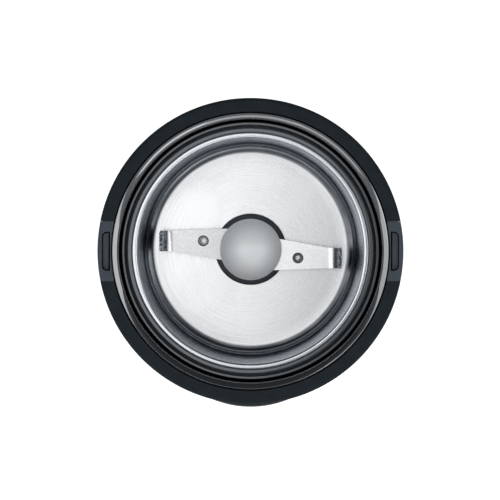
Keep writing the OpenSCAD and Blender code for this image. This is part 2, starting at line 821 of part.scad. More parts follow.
module stator_core() {
    pole_y = core_y / 2 - limb_w - 1;
    color("#6d7075") translate([0, 0, core_z]) difference() {
        linear_extrude(height = core_h) difference() {
            round_rect(core_x, core_y, 2);
            circle(r = armature_r + air_gap);
            square([core_x - 2 * limb_w, pole_gap], center = true);
            for (s = [-1, 1]) translate([s * (core_x / 2 - limb_w - window_w / 2), 0])
                square([window_w, 2 * pole_y], center = true);
        }
        corners(long_x, long_y) translate([0, 0, -1]) cylinder(r = long_r + fit, h = core_h + 2);
    }
}

module field_coils() {
    pole_y = core_y / 2 - limb_w - 1;
    out_x = core_x / 2 - limb_w - 0.3;
    side_w = window_w - 0.6;
    end_y = armature_r + 1.2;
    // the ends of the windings pass between the bracket's tubes
    end_x = long_x - long_r - 2 - air;
    side_y = pole_gap / 2 + 0.6;
    color("#9a4f1f") for (s = [0, 180]) rotate([0, 0, s]) {
        for (m = [-1, 1])
            translate([m * (out_x - side_w / 2), (side_y + pole_y - 0.3) / 2, core_z - winding_over])
            linear_extrude(height = core_h + 2 * winding_over)
                round_rect(side_w, pole_y - 0.3 - side_y, 1.5);
        for (z = [core_z - winding_over, core_top + 0.3]) difference() {
            translate([-end_x, pole_y - 2.5, z]) cube([2 * end_x, limb_w, winding_over - 0.3]);
            translate([0, 0, z - 1]) cylinder(r = end_y, h = winding_over + 2);
        }
    }
}

// The arms that reach from a motor bracket's middle to its rubber mounts or screws
module bracket_arms(reach, w) {
    for (a = [45, 135, 225, 315]) rotate([0, 0, a]) {
        translate([0, -w / 2]) square([reach, w]);
        translate([reach, 0]) circle(r = w / 2);
    }
}

module upper_bracket() {
    disc_r = fan_r + 2;
    color("#a9adb2") translate([0, 0, top_bracket_z]) difference() {
        linear_extrude(height = bracket_t) difference() {
            union() {
                circle(r = disc_r);
                bracket_arms(mount_ring_r, 2 * grommet_r + 3);
            }
            circle(r = bush_r);
            for (a = [0:90:270]) rotate(a) translate([(disc_r + bush_r) / 2 + 1.5, 0]) circle(r = 5);
            corners(long_x, long_y) circle(r = long_r);
            for (a = [45:90:315]) rotate(a) translate([mount_ring_r, 0]) circle(r = grommet_r - 1.2);
        }
    }
    // tubes that hold the bracket off the stator
    color("#a9adb2") corners(long_x, long_y) translate([0, 0, core_top])
        ring(long_r + 2, long_r, top_bracket_z - core_top + weld);
}

module lower_bracket() {
    reach = sqrt(long_x * long_x + long_y * long_y);
    color("#a9adb2") {
        translate([0, 0, low_bracket_z]) linear_extrude(height = bracket_t) difference() {
            union() {
                circle(r = bush_r + 9);
                corners(long_x, long_y) circle(r = 5.6);
                for (s = [-1, 1]) rotate(s * atan(long_y / long_x)) square([2 * reach, 9], center = true);
                square([2 * (comm_r + brush_l + 4), 10], center = true);
            }
            circle(r = bush_r);
            corners(long_x, long_y) circle(r = long_r);
        }
        // tubes that hold the stator off the bracket
        corners(long_x, long_y) translate([0, 0, low_bracket_z + bracket_t - weld])
            ring(long_r + 2, long_r, core_z - low_bracket_z - bracket_t + weld);
    }
}

// A plain flanged bush with its bore
module bush(bore_r, out_r, h) {
    ring(out_r, bore_r, h);
    ring(out_r + 1.2, out_r - weld, 1);
}

module upper_bush() {
    color("#b08d4c") translate([0, 0, top_bracket_z - 1])
        bush(shaft_r + run_gap, bush_r, upper_bush_top - top_bracket_z + 1);
}

module lower_bush() {
    color("#b08d4c") translate([0, 0, low_bracket_z - 1]) bush(shaft_r + run_gap, bush_r, bracket_t + 2);
}

module brush_holders() {
    brush_z = comm_z + comm_h / 2;
    out = brush_a + 2 * holder_wall;
    foot_z = low_bracket_z + bracket_t;
    color("#7a3b1e") for (a = [0, 180]) rotate([0, 0, a]) difference() {
        union() {
            translate([comm_r + 2, -out / 2, brush_z - out / 2]) cube([brush_l + 2, out, out]);
            translate([comm_r + 4, -out / 2, foot_z]) cube([brush_l, out, brush_z - foot_z]);
        }
        translate([0, -brush_a / 2 - 0.1, brush_z - brush_a / 2 - 0.1])
            cube([base_r, brush_a + 0.2, brush_a + 0.2]);
    }
}

module carbon_brushes() {
    color("#26272a") for (a = [0, 180]) rotate([0, 0, a]) difference() {
        translate([comm_r - 0.5, -brush_a / 2, comm_z + comm_h / 2 - brush_a / 2])
            cube([brush_l, brush_a, brush_a]);
        translate([0, 0, comm_z - 1]) cylinder(r = comm_r + 0.3, h = comm_h + 2);
    }
}

module motor_screws() {
    color("#8d9094") corners(long_x, long_y) translate([0, 0, low_bracket_z]) {
        translate([0, 0, -long_head_h]) cylinder(r = long_r + long_head, h = long_head_h);
        translate([0, 0, -weld]) cylinder(r = long_r, h = top_bracket_top - low_bracket_z + 1.5 + weld);
        // nut on the upper bracket
        translate([0, 0, top_bracket_top - low_bracket_z])
            cylinder(r = long_r + long_head, h = long_head_h, $fn = 6);
    }
}

module motor_grommets() {
    color("#131314") around(4, 45) translate([mount_ring_r, 0, top_bracket_z]) {
        translate([0, 0, -grommet_lip]) ring(grommet_r, mount_screw_r, grommet_lip);
        translate([0, 0, -weld]) ring(grommet_r - 1.2, mount_screw_r, bracket_t + 2 * weld);
        translate([0, 0, bracket_t]) ring(grommet_r, mount_screw_r, grommet_lip);
    }
}

module mount_screws() {
    color("#8d9094") around(4, 45) translate([mount_ring_r, 0, top_bracket_z - grommet_lip])
        screw_up(mount_screw_r, bracket_t + 2 * grommet_lip + mount_bite, screw_head_r);
}

module circuit_board() {
    color("#1f5a34") translate([-board_w / 2, board_y - board_t / 2, plate_top - 1])
        cube([board_w, board_t, board_h]);
}

// The board's parts, placed and sized by the board they stand on
module board_components() {
    face_y = board_y - board_t / 2;
    back_y = board_y + board_t / 2;
    u = board_w / 20;
    v = board_h / 17;
    // film capacitor
    color("#c9b458") translate([-7 * u, back_y, plate_top + 9 * v]) cube([6 * u, 3 * u, 5 * v]);
    // relay
    color("#2b2f36") translate([2 * u, back_y, plate_top + 8 * v]) cube([5 * u, 2.5 * u, 7 * v]);
    // disc resistor
    color("#8a3f2a") translate([4 * u, face_y, plate_top + 4.5 * v]) rotate([90, 0, 0])
        cylinder(r = 1.25 * u, h = 1.5 * u);
    // terminal block
    color("#d8d4c6") translate([-6 * u, face_y - 1.5 * u, plate_top + 4 * v]) cube([6 * u, 1.5 * u, 2 * v]);
}

// The body of a switch, its top at z = 0, with a well for its plunger
module switch_body() {
    difference() {
        translate([-switch_w / 2, -switch_l / 2, -switch_h]) cube([switch_w, switch_l, switch_h]);
        translate([-plunger_a / 2 - 0.3, -plunger_a / 2 - 0.3, -interlock_travel - 2])
            cube([plunger_a + 0.6, plunger_a + 0.6, interlock_travel + 3]);
        // holes for the switch's fixing pins
        for (s = [-1, 1]) translate([-switch_w, s * switch_l * 0.38, -switch_h * 0.7]) rotate([0, 90, 0])
            cylinder(r = 1.1, h = 2 * switch_w);
    }
}

module interlock_switches() {
    color("#2c2f33") for (a = [0, 180]) rotate([0, 0, a])
        translate([switch_ring_r, 0, switch_top]) switch_body();
}

module start_switch() {
    color("#2c2f33") translate([0, start_face_y, shelf_z + shelf_t + switch_w / 2])
        rotate([90, 0, 0]) rotate([0, 0, 90]) switch_body();
}

// Points of a coil spring of round wire standing on z = 0
function coil_ring(a, z, r) = [
    for (k = [0:5]) let (q = r - wire_r + wire_r * cos(60 * k)) [q * cos(a), q * sin(a), z + wire_r * sin(60 * k)]
];

// A coil spring as one swept tube, h high
module coil_spring(h, turns) {
    steps = turns * 12;
    pts = [for (i = [0:steps]) each coil_ring(360 * turns * i / steps, wire_r + (h - 2 * wire_r) * i / steps, spring_r)];
    sides = [
        for (i = [0:steps - 1], k = [0:5])
            [i * 6 + k, i * 6 + (k + 1) % 6, (i + 1) * 6 + (k + 1) % 6, (i + 1) * 6 + k]
    ];
    ends = [[for (k = [5:-1:0]) k], [for (k = [0:5]) steps * 6 + k]];
    polyhedron(points = pts, faces = concat(sides, ends));
}

module rod_spring_right() {
    color("#c4c7ca") translate([rod_spring_r, 0, shelf_z + shelf_t])
        coil_spring(rod_foot_z - shelf_z - shelf_t, 6);
}

module rod_spring_left() {
    rotate([0, 0, 180]) rod_spring_right();
}

module button_spring() {
    seat = well_r + well_wall;
    color("#c4c7ca") translate([0, -seat, button_z]) rotate([90, 0, 0])
        coil_spring(button_reach - button_wall - seat, 4);
}

module motor_shaft() {
    color("#b9bcc0") {
        translate([0, 0, low_bracket_z - 3]) cylinder(r = shaft_r, h = dog_z + 2 - low_bracket_z + 3);
        // thrust collar on the lower bush
        translate([0, 0, low_bracket_z + bracket_t + 1.2]) ring(shaft_r + 1.5, shaft_r - weld, 1.4);
    }
}

module armature_core() {
    color("#777a7f") translate([0, 0, core_z]) linear_extrude(height = core_h) difference() {
        circle(r = armature_r);
        circle(r = shaft_r);
        for (i = [0:armature_slots - 1]) rotate(360 * i / armature_slots) {
            translate([armature_r - 2.6, 0]) circle(r = 1.4);
            translate([armature_r - 2.6, -0.5]) square([4, 1]);
        }
    }
}

module armature_windings() {
    color("#b5581f") for (z = [core_z - winding_over, core_top]) translate([0, 0, z]) rotate_extrude()
        polygon([
        [shaft_r + 1, 0], [armature_r - 3, 0], [armature_r - 1.2, winding_over * 0.3],
        [armature_r - 1.2, winding_over * 0.7], [armature_r - 3, winding_over], [shaft_r + 1, winding_over]
    ]);
}

module commutator() {
    bars = armature_slots * 2;
    color("#b87445") translate([0, 0, comm_z]) {
        difference() {
            cylinder(r = comm_r, h = comm_h);
            translate([0, 0, -1]) cylinder(r = shaft_r, h = comm_h + 2);
            for (i = [0:bars - 1]) rotate([0, 0, 360 * i / bars])
                translate([comm_r - 0.8, -0.2, -1]) cube([2, 0.4, comm_h + 2]);
        }
    }
}

module cooling_fan() {
    color("#d9d6cc") translate([0, 0, fan_z]) {
        difference() {
            union() {
                cylinder(r = shaft_r + 3, h = fan_h);
                cylinder(r = fan_r, h = 1.4);
                around(fan_vanes) translate([shaft_r + 1.5, -0.6, 0]) rotate([0, 0, -12])
                    cube([fan_r - shaft_r - 2.5, 1.2, fan_h]);
            }
            translate([0, 0, -1]) cylinder(r = shaft_r, h = fan_h + 2);
        }
    }
}

// The star section of the coupling, grown by a clearance
module star(grow) {
    circle(r = dog_core_r + grow);
    for (i = [0:lobes - 1]) rotate(360 * i / lobes) {
        translate([0, -lobe_w / 2 - grow]) square([dog_lobe_r - lobe_w / 2, lobe_w + 2 * grow]);
        translate([dog_lobe_r - lobe_w / 2, 0]) circle(r = lobe_w / 2 + grow);
    }
}

module drive_dog() {
    out_r = dog_lobe_r + dog_gap + dog_wall;
    color("#1a1b1d") difference() {
        union() {
            translate([0, 0, dog_z]) cylinder(r = out_r, h = dog_top - dog_z);
            translate([0, 0, upper_bush_top + 0.4])
                cylinder(r = shaft_r + dog_wall, h = dog_z - upper_bush_top);
        }
        translate([0, 0, upper_bush_top]) cylinder(r = shaft_r, h = dog_z + 2 - upper_bush_top);
        translate([0, 0, dog_floor_z]) linear_extrude(height = dog_depth + dog_lip + 1) star(dog_gap);
        // lead-in round the pocket
        translate([0, 0, dog_top - dog_lip])
            cylinder(r1 = dog_lobe_r, r2 = dog_lobe_r + dog_lip, h = dog_lip + 0.01);
    }
}

module driven_dog() {
    color("#222326") difference() {
        union() {
            translate([0, 0, driven_z]) linear_extrude(height = driven_top - driven_z - 1) star(0);
            translate([0, 0, driven_top - 1 - weld]) cylinder(r = dog_core_r, h = 1 + weld);
        }
        translate([0, 0, driven_z + 1]) cylinder(r = spindle_r, h = driven_top - driven_z);
    }
}

// The inner side of the bowl, from its bottom's middle to its rim
function bowl_inside(add) = concat(
    arc(bowl_r - bowl_draft - bowl_fillet, bowl_floor + bowl_fillet, bowl_fillet + add, -90, 0, 8),
    [[bowl_r + add, rim_z - (add > 0 ? sheet : 0)]]
);

module steel_bowl() {
    inside = bowl_inside(0);
    outside = bowl_inside(sheet);
    color("#d4d6d8") rotate_extrude() polygon(concat(
        [[barrel_r + 0.05, bowl_floor]],
        inside,
        [[rim_r, rim_z], [rim_r, rim_z - sheet]],
        [for (i = [len(outside) - 1:-1:0]) outside[i]],
        [[barrel_r + 0.05, bowl_z]]
    ));
}

module cup_sleeve() {
    sheet_r = bowl_r + sheet;
    in_r = sleeve_r - sleeve_wall;
    land_in = rim_r + fit / 2;
    color("#24272b") difference() {
        union() {
            rotate_extrude() polygon([
                [barrel_r + 6, cup_z], [sleeve_r - 1, cup_z], [sleeve_r, cup_z + 1],
                [sleeve_r, ridge_top - 2], [ridge_r, ridge_top - 1.4], [ridge_r, ridge_top - 0.3],
                [ridge_r - 0.3, ridge_top], [ridge_r - ridge_w, ridge_top],
                [ridge_r - ridge_w, rim_z - groove_d], [land_r, rim_z - groove_d],
                [land_r, rim_z + 0.1], [land_r - 0.2, rim_z + 0.3], [land_in + 0.2, rim_z + 0.3],
                [land_in, rim_z + 0.1], [land_in, rim_z - sheet - 0.05], [sheet_r + 0.15, rim_z - sheet - 0.05],
                [sheet_r + 0.15, rim_z - 6], [in_r, rim_z - 9], [in_r, cup_z + sleeve_floor_t],
                [barrel_r + 6, cup_z + sleeve_floor_t]
            ]);
            // bosses for the bearing's screws
            around(cup_screw_count, 90) translate([cup_screw_ring_r, 0, cup_z])
                cylinder(r = 3, h = bearing_top - bearing_flange_t - cup_z);
        }
        // notches over the well's keys
        around(keys, 45) translate([well_r - key_d - 0.6, -key_w / 2 - air, cup_z - 1])
            cube([key_d + 2, key_w + 2 * air, key_h + 1 + air]);
        around(cup_screw_count, 90) translate([cup_screw_ring_r, 0, cup_z - 1]) {
            cylinder(r = screw_core_r + 0.3, h = bowl_stand);
            cylinder(r = screw_head_r + fit, h = 1 + head_t + 0.2);
        }
    }
}

module cup_bearing() {
    flange_z0 = bearing_top - bearing_flange_t;
    color("#5b6066") difference() {
        union() {
            translate([0, 0, flange_z0]) cylinder(r = bearing_flange_r, h = bearing_flange_t);
            translate([0, 0, barrel_z]) cylinder(r = barrel_r, h = seal_top - 1 - barrel_z);
        }
        translate([0, 0, barrel_z - 1]) cylinder(r = cup_bush_r, h = seal_top - barrel_z + 2);
        around(cup_screw_count, 90) translate([cup_screw_ring_r, 0, flange_z0 - 1])
            cylinder(r = screw_core_r, h = bearing_flange_t + 2);
    }
}

module cup_bush() {
    color("#b08d4c") translate([0, 0, barrel_z])
        ring(cup_bush_r, spindle_r + run_gap, seal_top - 1 - barrel_z);
}

module cup_screws() {
    color("#8d9094") around(cup_screw_count, 90) translate([cup_screw_ring_r, 0, cup_z + head_t + 0.2])
        screw_up(screw_core_r, bearing_top - 0.5 - cup_z - head_t - 0.2, screw_head_r);
}

module bowl_gasket() {
    color("#9a9c9f") translate([0, 0, bearing_top]) ring(bearing_flange_r - 1, barrel_r, gasket_t);
}

module hub_seal() {
    color("#33393f") rotate_extrude() polygon([
        [barrel_r, bowl_floor], [hub_seal_r, bowl_floor], [hub_seal_r, seal_top - 0.8],
        [hub_seal_r - 0.8, seal_top], [spindle_r + 0.4, seal_top], [spindle_r + 0.4, seal_top - 0.8],
        [barrel_r, seal_top - 0.8]
    ]);
}

module blade_spindle() {
    color("#b9bcc0") difference() {
        union() {
            translate([0, 0, driven_z + 1]) cylinder(r = spindle_r, h = cap_z + nut_h + 1 - driven_z - 1);
            translate([0, 0, shoulder_z]) cylinder(r = shoulder_r, h = shoulder_t);
        }
        // flats that turn the blade
        for (s = [-1, 1]) translate([s * (spindle_r + 2 - 0.7), 0, blade_z + 10])
            cube([4, 8, 20], center = true);
    }
}

// One wing of the blade with its turned up tip, on the +X side
module wing() {
    difference() {
        translate([0, 0, blade_z]) linear_extrude(height = blade_t) polygon([
            [4, -root_w * 0.66], [bend_x + 0.3, -wing_sweep - tip_w / 2],
            [bend_x, -wing_sweep + tip_w / 2], [cap_r - 1, root_w * 0.33], [2, root_w * 0.5]
        ]);
        translate([wing_hole_x, -wing_sweep, blade_z - 1]) cylinder(r = wing_hole_r, h = blade_t + 2);
    }
    translate([bend_x - 0.3, -wing_sweep - tip_w / 2, blade_z]) tip();
}

// The turned up tip: a bend of true arcs and a flat with clipped corners
module tip() {
    inner = blade_t;
    rotate([90, 0, 0]) mirror([0, 0, 1]) linear_extrude(height = tip_w) {
        polygon(concat(
            arc(0, inner + blade_t, inner + blade_t, -90, tip_angle - 90, 5),
            arc(0, inner + blade_t, inner, tip_angle - 90, -90, 5)
        ));
    }
    translate([(inner + blade_t) * sin(tip_angle), 0, (inner + blade_t) * (1 - cos(tip_angle))])
        rotate([0, -tip_angle, 0]) linear_extrude(height = blade_t) polygon([
            [-0.1, 0], [tip_l - 1, 0], [tip_l, 1], [tip_l, tip_w - 1], [tip_l - 1, tip_w], [-0.1, tip_w]
        ]);
}

module blade() {
    color("#c9ccd0") difference() {
        union() {
            translate([0, 0, blade_z]) cylinder(r = cap_r - 1, h = blade_t);
            around(2) wing();
        }
        intersection() {
            translate([0, 0, blade_z - 1]) cylinder(r = spindle_r, h = blade_t + 2);
            translate([-spindle_r + 0.7, -5, blade_z - 1]) cube([2 * (spindle_r - 0.7), 10, blade_t + 2]);
        }
    }
}

module hub_cap() {
    dome_h = cap_h - cap_rim_h;
    // sphere through the rim and the top
    ball_r = (cap_r * cap_r + dome_h * dome_h) / (2 * dome_h);
    color("#d7d9da") difference() {
        intersection() {
            translate([0, 0, cap_z]) cylinder(r = cap_r, h = cap_h);
            translate([0, 0, cap_z + cap_h - ball_r]) sphere(r = ball_r);
        }
        translate([0, 0, cap_z - 1]) cylinder(r = cap_r - cap_wall, h = nut_h + 2.2);
    }
}

module blade_nut() {
    color("#a5a8ac") translate([0, 0, cap_z]) difference() {
        cylinder(r = nut_af / sqrt(3), h = nut_h, $fn = 6);
        translate([0, 0, -1]) cylinder(r = spindle_r, h = nut_h + 2);
    }
}

module interlock_rod_right() {
    pusher_z = insert_z + interlock_travel + 0.6;
    rod_in = switch_ring_r - 2.5;
    neck_z = insert_z - air;
    color("#2f353b") {
        translate([pocket_r + slide_gap, -pocket_w / 2 + slide_gap, pusher_z])
            cube([pocket_d - 2 * slide_gap, pocket_w - 2 * slide_gap, pusher_top - pusher_z]);
        translate([rod_r, -rod_w / 2, rod_foot_z]) cube([rod_t, rod_w, neck_z - rod_foot_z]);
        // thinner neck that runs in the insert's pocket
        translate([pocket_r + slide_gap, -rod_w / 2, neck_z - weld])
            cube([rod_r + rod_t - pocket_r - slide_gap, rod_w, pusher_z - neck_z + 2 * weld]);
        translate([rod_in, -rod_w / 2, rod_foot_z]) cube([rod_r + rod_t - rod_in, rod_w, rod_foot_t]);
    }
}

module interlock_rod_left() {
    rotate([0, 0, 180]) interlock_rod_right();
}

module switch_plunger_right() {
    color("#b23a2c") translate([switch_ring_r - plunger_a / 2, -plunger_a / 2, switch_top - 1.2])
        cube([plunger_a, plunger_a, rod_foot_z - switch_top + 1.2]);
}

module switch_plunger_left() {
    rotate([0, 0, 180]) switch_plunger_right();
}

module start_button() {
    half = button_h / 2;
    back_r = nose_r - wall - 0.4;
    // arc of the crowned face, from its top to its bottom
    crown_r = (half * half + button_crown * button_crown) / (2 * button_crown);
    crown_a = asin(half / crown_r);
    color("#050506") {
        difference() {
            intersection() {
                translate([0, nose_y, button_z]) rotate_extrude() polygon(concat(
                    [[back_r, -half], [button_face_r - button_crown, -half]],
                    arc(button_face_r - crown_r, 0, crown_r, -crown_a, crown_a, 8),
                    [[button_face_r - button_crown, half], [back_r, half]]
                ));
                button_bar(0);
            }
            intersection() {
                translate([0, nose_y, 0]) cylinder(r = button_face_r - button_wall, h = total_h);
                button_bar(-1.6);
            }
        }
        // lips that stop the button behind its frame
        for (s = [-1, 1]) intersection() {
            translate([0, nose_y, button_z + s * (half + button_lip / 2 - 0.8)])
                translate([0, 0, -button_lip / 2 - 0.8]) ring(back_r, back_r - 1.2, button_lip + 1.6);
            translate([-button_w / 2 + button_corner, -base_r, 0])
                cube([button_w - 2 * button_corner, base_r, total_h]);
        }
        // leg down to the switch, on a tab behind the button's lower wall
        translate([-leg_w / 2, -leg_out_y, button_z - half]) cube([leg_w, leg_t, 1.6]);
        translate([-leg_w / 2, -button_reach + button_wall + 1, button_z - half])
            cube([leg_w, button_reach - button_wall - 1 - leg_out_y + leg_t, 1.6]);
        translate([-leg_w / 2, -leg_out_y, shelf_z + shelf_t + 1])
            cube([leg_w, leg_t, button_z - half - shelf_z - shelf_t]);
    }
}

module start_plunger() {
    color("#b23a2c")
        translate([-plunger_a / 2, -leg_out_y + leg_t, shelf_z + shelf_t + switch_w / 2 - plunger_a / 2])
        cube([plunger_a, leg_out_y - leg_t + start_face_y + 1.2, plunger_a]);
}

housing();
collar();
cup_well();
lock_insert_left();
lock_insert_right();
base_plate();
base_screws();
foot_ring();
cord_gland();
cord_clamp();
stator_core();
field_coils();
upper_bracket();
lower_bracket();
upper_bush();
lower_bush();
brush_holders();
carbon_brushes();
motor_screws();
motor_grommets();
mount_screws();
circuit_board();
board_components();
interlock_switches();
start_switch();
rod_spring_left();
rod_spring_right();
button_spring();
motor_shaft();
armature_core();
armature_windings();
commutator();
cooling_fan();
drive_dog();
steel_bowl();
cup_sleeve();
cup_bearing();
cup_bush();
cup_screws();
bowl_gasket();
hub_seal();
blade();
hub_cap();
blade_spindle();
blade_nut();
driven_dog();
interlock_rod_left();
interlock_rod_right();
switch_plunger_left();
switch_plunger_right();
start_button();
start_plunger();
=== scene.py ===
"""Dresses the electric spice grinder: its pieces, their finishes, and the stage."""
import math

import bpy
from bpy.props import FloatProperty, FloatVectorProperty, IntProperty, PointerProperty
from mathutils import Euler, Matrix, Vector


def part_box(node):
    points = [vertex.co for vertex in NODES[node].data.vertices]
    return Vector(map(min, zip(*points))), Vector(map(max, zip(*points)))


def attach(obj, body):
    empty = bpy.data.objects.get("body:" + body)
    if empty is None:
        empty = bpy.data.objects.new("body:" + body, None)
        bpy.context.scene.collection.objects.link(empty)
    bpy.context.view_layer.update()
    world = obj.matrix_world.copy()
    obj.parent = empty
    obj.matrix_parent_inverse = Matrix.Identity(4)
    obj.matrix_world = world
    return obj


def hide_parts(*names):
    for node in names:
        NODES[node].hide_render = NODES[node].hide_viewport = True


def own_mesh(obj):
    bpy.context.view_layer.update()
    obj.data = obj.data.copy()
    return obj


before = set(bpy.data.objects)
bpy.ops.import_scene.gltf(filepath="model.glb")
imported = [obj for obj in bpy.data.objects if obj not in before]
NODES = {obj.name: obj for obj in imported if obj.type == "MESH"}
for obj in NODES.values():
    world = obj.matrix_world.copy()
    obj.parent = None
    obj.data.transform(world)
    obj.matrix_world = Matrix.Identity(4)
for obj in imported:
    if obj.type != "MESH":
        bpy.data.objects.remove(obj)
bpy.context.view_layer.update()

bl_info = {
    "name": "Spice Grinder Dresser",
    "version": (1, 0, 0),
    "blender": (4, 5, 0),
    "location": "View3D > Sidebar > Grinder",
    "description": "Builds the visible pieces and finishes of a spice grinder round its frame",
    "category": "Object",
}

MM = 0.001

# Places taken from the frame, in metres
COLLAR_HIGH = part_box("collar")[1]
TOP_Z = COLLAR_HIGH.z
BOWL_LOW, BOWL_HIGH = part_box("steel_bowl")
SLEEVE_LOW, SLEEVE_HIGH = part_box("cup_sleeve")
BLADE_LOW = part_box("blade")[0]
CAP_LOW, CAP_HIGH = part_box("hub_cap")
SEAL_LOW, SEAL_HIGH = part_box("hub_seal")
HOUSING_LOW, HOUSING_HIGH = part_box("housing")
BUTTON_LOW, BUTTON_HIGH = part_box("start_button")

# The two sides with an interlock, and the angle of each
SIDES = (("right", 0.0), ("left", 180.0))
DIAGONALS = (45.0, 135.0, 225.0, 315.0)

# Radii and levels that follow from them
WELL_FLOOR = SLEEVE_LOW.z
WELL_R = 46.6 * MM
WELL_WALL = 1.8 * MM
MOUTH_R = 48.7 * MM
RIDGE_R = SLEEVE_HIGH.x
SLEEVE_R = RIDGE_R - 0.3 * MM
LAND_R = RIDGE_R - 2.15 * MM
RIM_R = BOWL_HIGH.x
RIM_Z = BOWL_HIGH.z
BOWL_R = RIM_R - 1.9 * MM
HOLE_R = 8.05 * MM
LEG_Y = -51.87 * MM


# ---------------------------------------------------------------- properties

class GrinderSizes(bpy.types.PropertyGroup):
    """Sizes of the visible pieces that a user may change"""

    collar_radius: FloatProperty(
        name="Collar Radius", description="Outer radius of the collar ring",
        default=COLLAR_HIGH.x, unit="LENGTH")
    collar_width: FloatProperty(
        name="Collar Width", description="Radial width of the collar ring",
        default=4.9 * MM, unit="LENGTH")
    collar_round: FloatProperty(
        name="Collar Rounding", description="Radius of the collar's top outer edge",
        default=1.4 * MM, unit="LENGTH")
    segments: IntProperty(
        name="Segments", description="Steps round every turned piece", default=192, min=48, max=256)


class GrinderColours(bpy.types.PropertyGroup):
    """Base colours of the finishes"""

    collar: FloatVectorProperty(
        name="Collar", description="Grained plastic of the collar and housing",
        subtype="COLOR", size=3, default=(0.0134, 0.0182, 0.0222))
    insert: FloatVectorProperty(
        name="Inserts", description="Satin plastic of the side inserts",
        subtype="COLOR", size=3, default=(0.058, 0.070, 0.086))
    gloss: FloatVectorProperty(
        name="Well", description="Polished plastic of the cup well",
        subtype="COLOR", size=3, default=(0.007, 0.010, 0.013))
    sleeve: FloatVectorProperty(
        name="Sleeve", description="Satin plastic of the cup's sleeve",
        subtype="COLOR", size=3, default=(0.048, 0.058, 0.067))
    steel: FloatVectorProperty(
        name="Steel", description="Stainless steel of the bowl and the blade",
        subtype="COLOR", size=3, default=(0.81, 0.817, 0.827))
    cap: FloatVectorProperty(
        name="Hub Cap", description="Translucent plastic of the domed cap",
        subtype="COLOR", size=3, default=(0.95, 0.975, 0.985))


class GrinderStage(bpy.types.PropertyGroup):
    """Camera and light of the stage"""

    camera_height: FloatProperty(
        name="Camera Height", description="Distance of the camera above the collar's top",
        default=0.700, unit="LENGTH")
    camera_lean: FloatProperty(
        name="Camera Lean", description="Lean of the camera towards the back",
        default=math.radians(0.87), subtype="ANGLE")
    camera_side: FloatProperty(
        name="Camera Side Lean",
        description="Lean of the camera towards the left; below zero, the right",
        default=math.radians(-0.12), subtype="ANGLE")
    aim_x: FloatProperty(
        name="Aim X", description="Point at the collar's top that the camera looks at, along X",
        default=-0.14 * MM, unit="LENGTH")
    aim_y: FloatProperty(
        name="Aim Y", description="Point at the collar's top that the camera looks at, along Y",
        default=0.44 * MM, unit="LENGTH")
    frame_width: FloatProperty(
        name="Frame Width", description="Width that the picture covers at the collar's top",
        default=0.1759, unit="LENGTH")
    key_power: FloatProperty(
        name="Key Power", description="Power of the large softbox", default=1.25, unit="POWER")


def sizes():
    return bpy.context.scene.grinder_sizes


def colours():
    return bpy.context.scene.grinder_colours


# ---------------------------------------------------------------- node helpers

def link(tree, source, target):
    tree.links.new(source, target)


def new_material(name):
    """A new node material with its Principled shader."""
    material = bpy.data.materials.new(name)
    material.use_nodes = True
    return material.node_tree, material.node_tree.nodes["Principled BSDF"]


def add(tree, kind, **values):
    """A node of a kind, with its properties set."""
    node = tree.nodes.new("ShaderNode" + kind)
    for key, value in values.items():
        setattr(node, key, value)
    return node


def feed(tree, node, **values):
    """Sets inputs of a node by name, each to a constant or from another node's output."""
    for key, value in values.items():
        socket = node.inputs[key.replace("_", " ")]
        if hasattr(value, "is_linked"):
            link(tree, value, socket)
        else:
            socket.default_value = value
    return node


def math_node(tree, operation, first, second=None, clamp=False):
    """A Math node fed by sockets or numbers."""
    node = add(tree, "Math", operation=operation, use_clamp=clamp)
    for socket, value in zip(node.inputs, (first, second)):
        if value is None:
            continue
        if isinstance(value, (int, float)):
            socket.default_value = value
        else:
            link(tree, value, socket)
    return node.outputs[0]


def remap(tree, value, low, high, to_low, to_high):
    """A Map Range node from one span to another."""
    node = add(tree, "MapRange")
    link(tree, value, node.inputs["Value"])
    for name, number in (("From Min", low), ("From Max", high), ("To Min", to_low),
                         ("To Max", to_high)):
        node.inputs[name].default_value = number
    return node.outputs["Result"]


def noise(tree, vector, scale, detail=4.0, rough=0.5):
    """A noise value at a scale per metre."""
    node = add(tree, "TexNoise")
    link(tree, vector, node.inputs["Vector"])
    node.inputs["Scale"].default_value = scale
    node.inputs["Detail"].default_value = detail
    node.inputs["Roughness"].default_value = rough
    return node.outputs["Fac"]


def object_point(tree):
    return add(tree, "TexCoord").outputs["Object"]


def bump(tree, height, strength, distance):
    """A Bump node on a height, and its normal."""
    node = add(tree, "Bump")
    node.inputs["Strength"].default_value = strength
    node.inputs["Distance"].default_value = distance
    link(tree, height, node.inputs["Height"])
    return node.outputs["Normal"]


def mix_colour(tree, factor, low, high):
    """A colour between two, each a socket or a colour."""
    node = add(tree, "Mix", data_type="RGBA")
    link(tree, factor, node.inputs["Factor"])
    for socket, value in ((node.inputs[6], low), (node.inputs[7], high)):
        if isinstance(value, (tuple, list)) or not hasattr(value, "is_linked"):
            socket.default_value = (*value, 1.0)
        else:
            link(tree, value, socket)
    return node.outputs[2]


def shade(colour, *factors):
    """A colour times one factor, or times one factor a channel, up to white."""
    return tuple(min(1.0, c * f) for c, f in zip(colour, factors * (3 // len(factors))))


def axis_radius(tree, place):
    """The distance from the Z axis, from separated coordinates."""
    flat = [math_node(tree, "POWER", place.outputs[axis], 2.0) for axis in (0, 1)]
    return math_node(tree, "SQRT", math_node(tree, "ADD", *flat))


def separate(tree, vector):
    """The coordinates of a vector, one output each."""
    return feed(tree, add(tree, "SeparateXYZ"), Vector=vector)


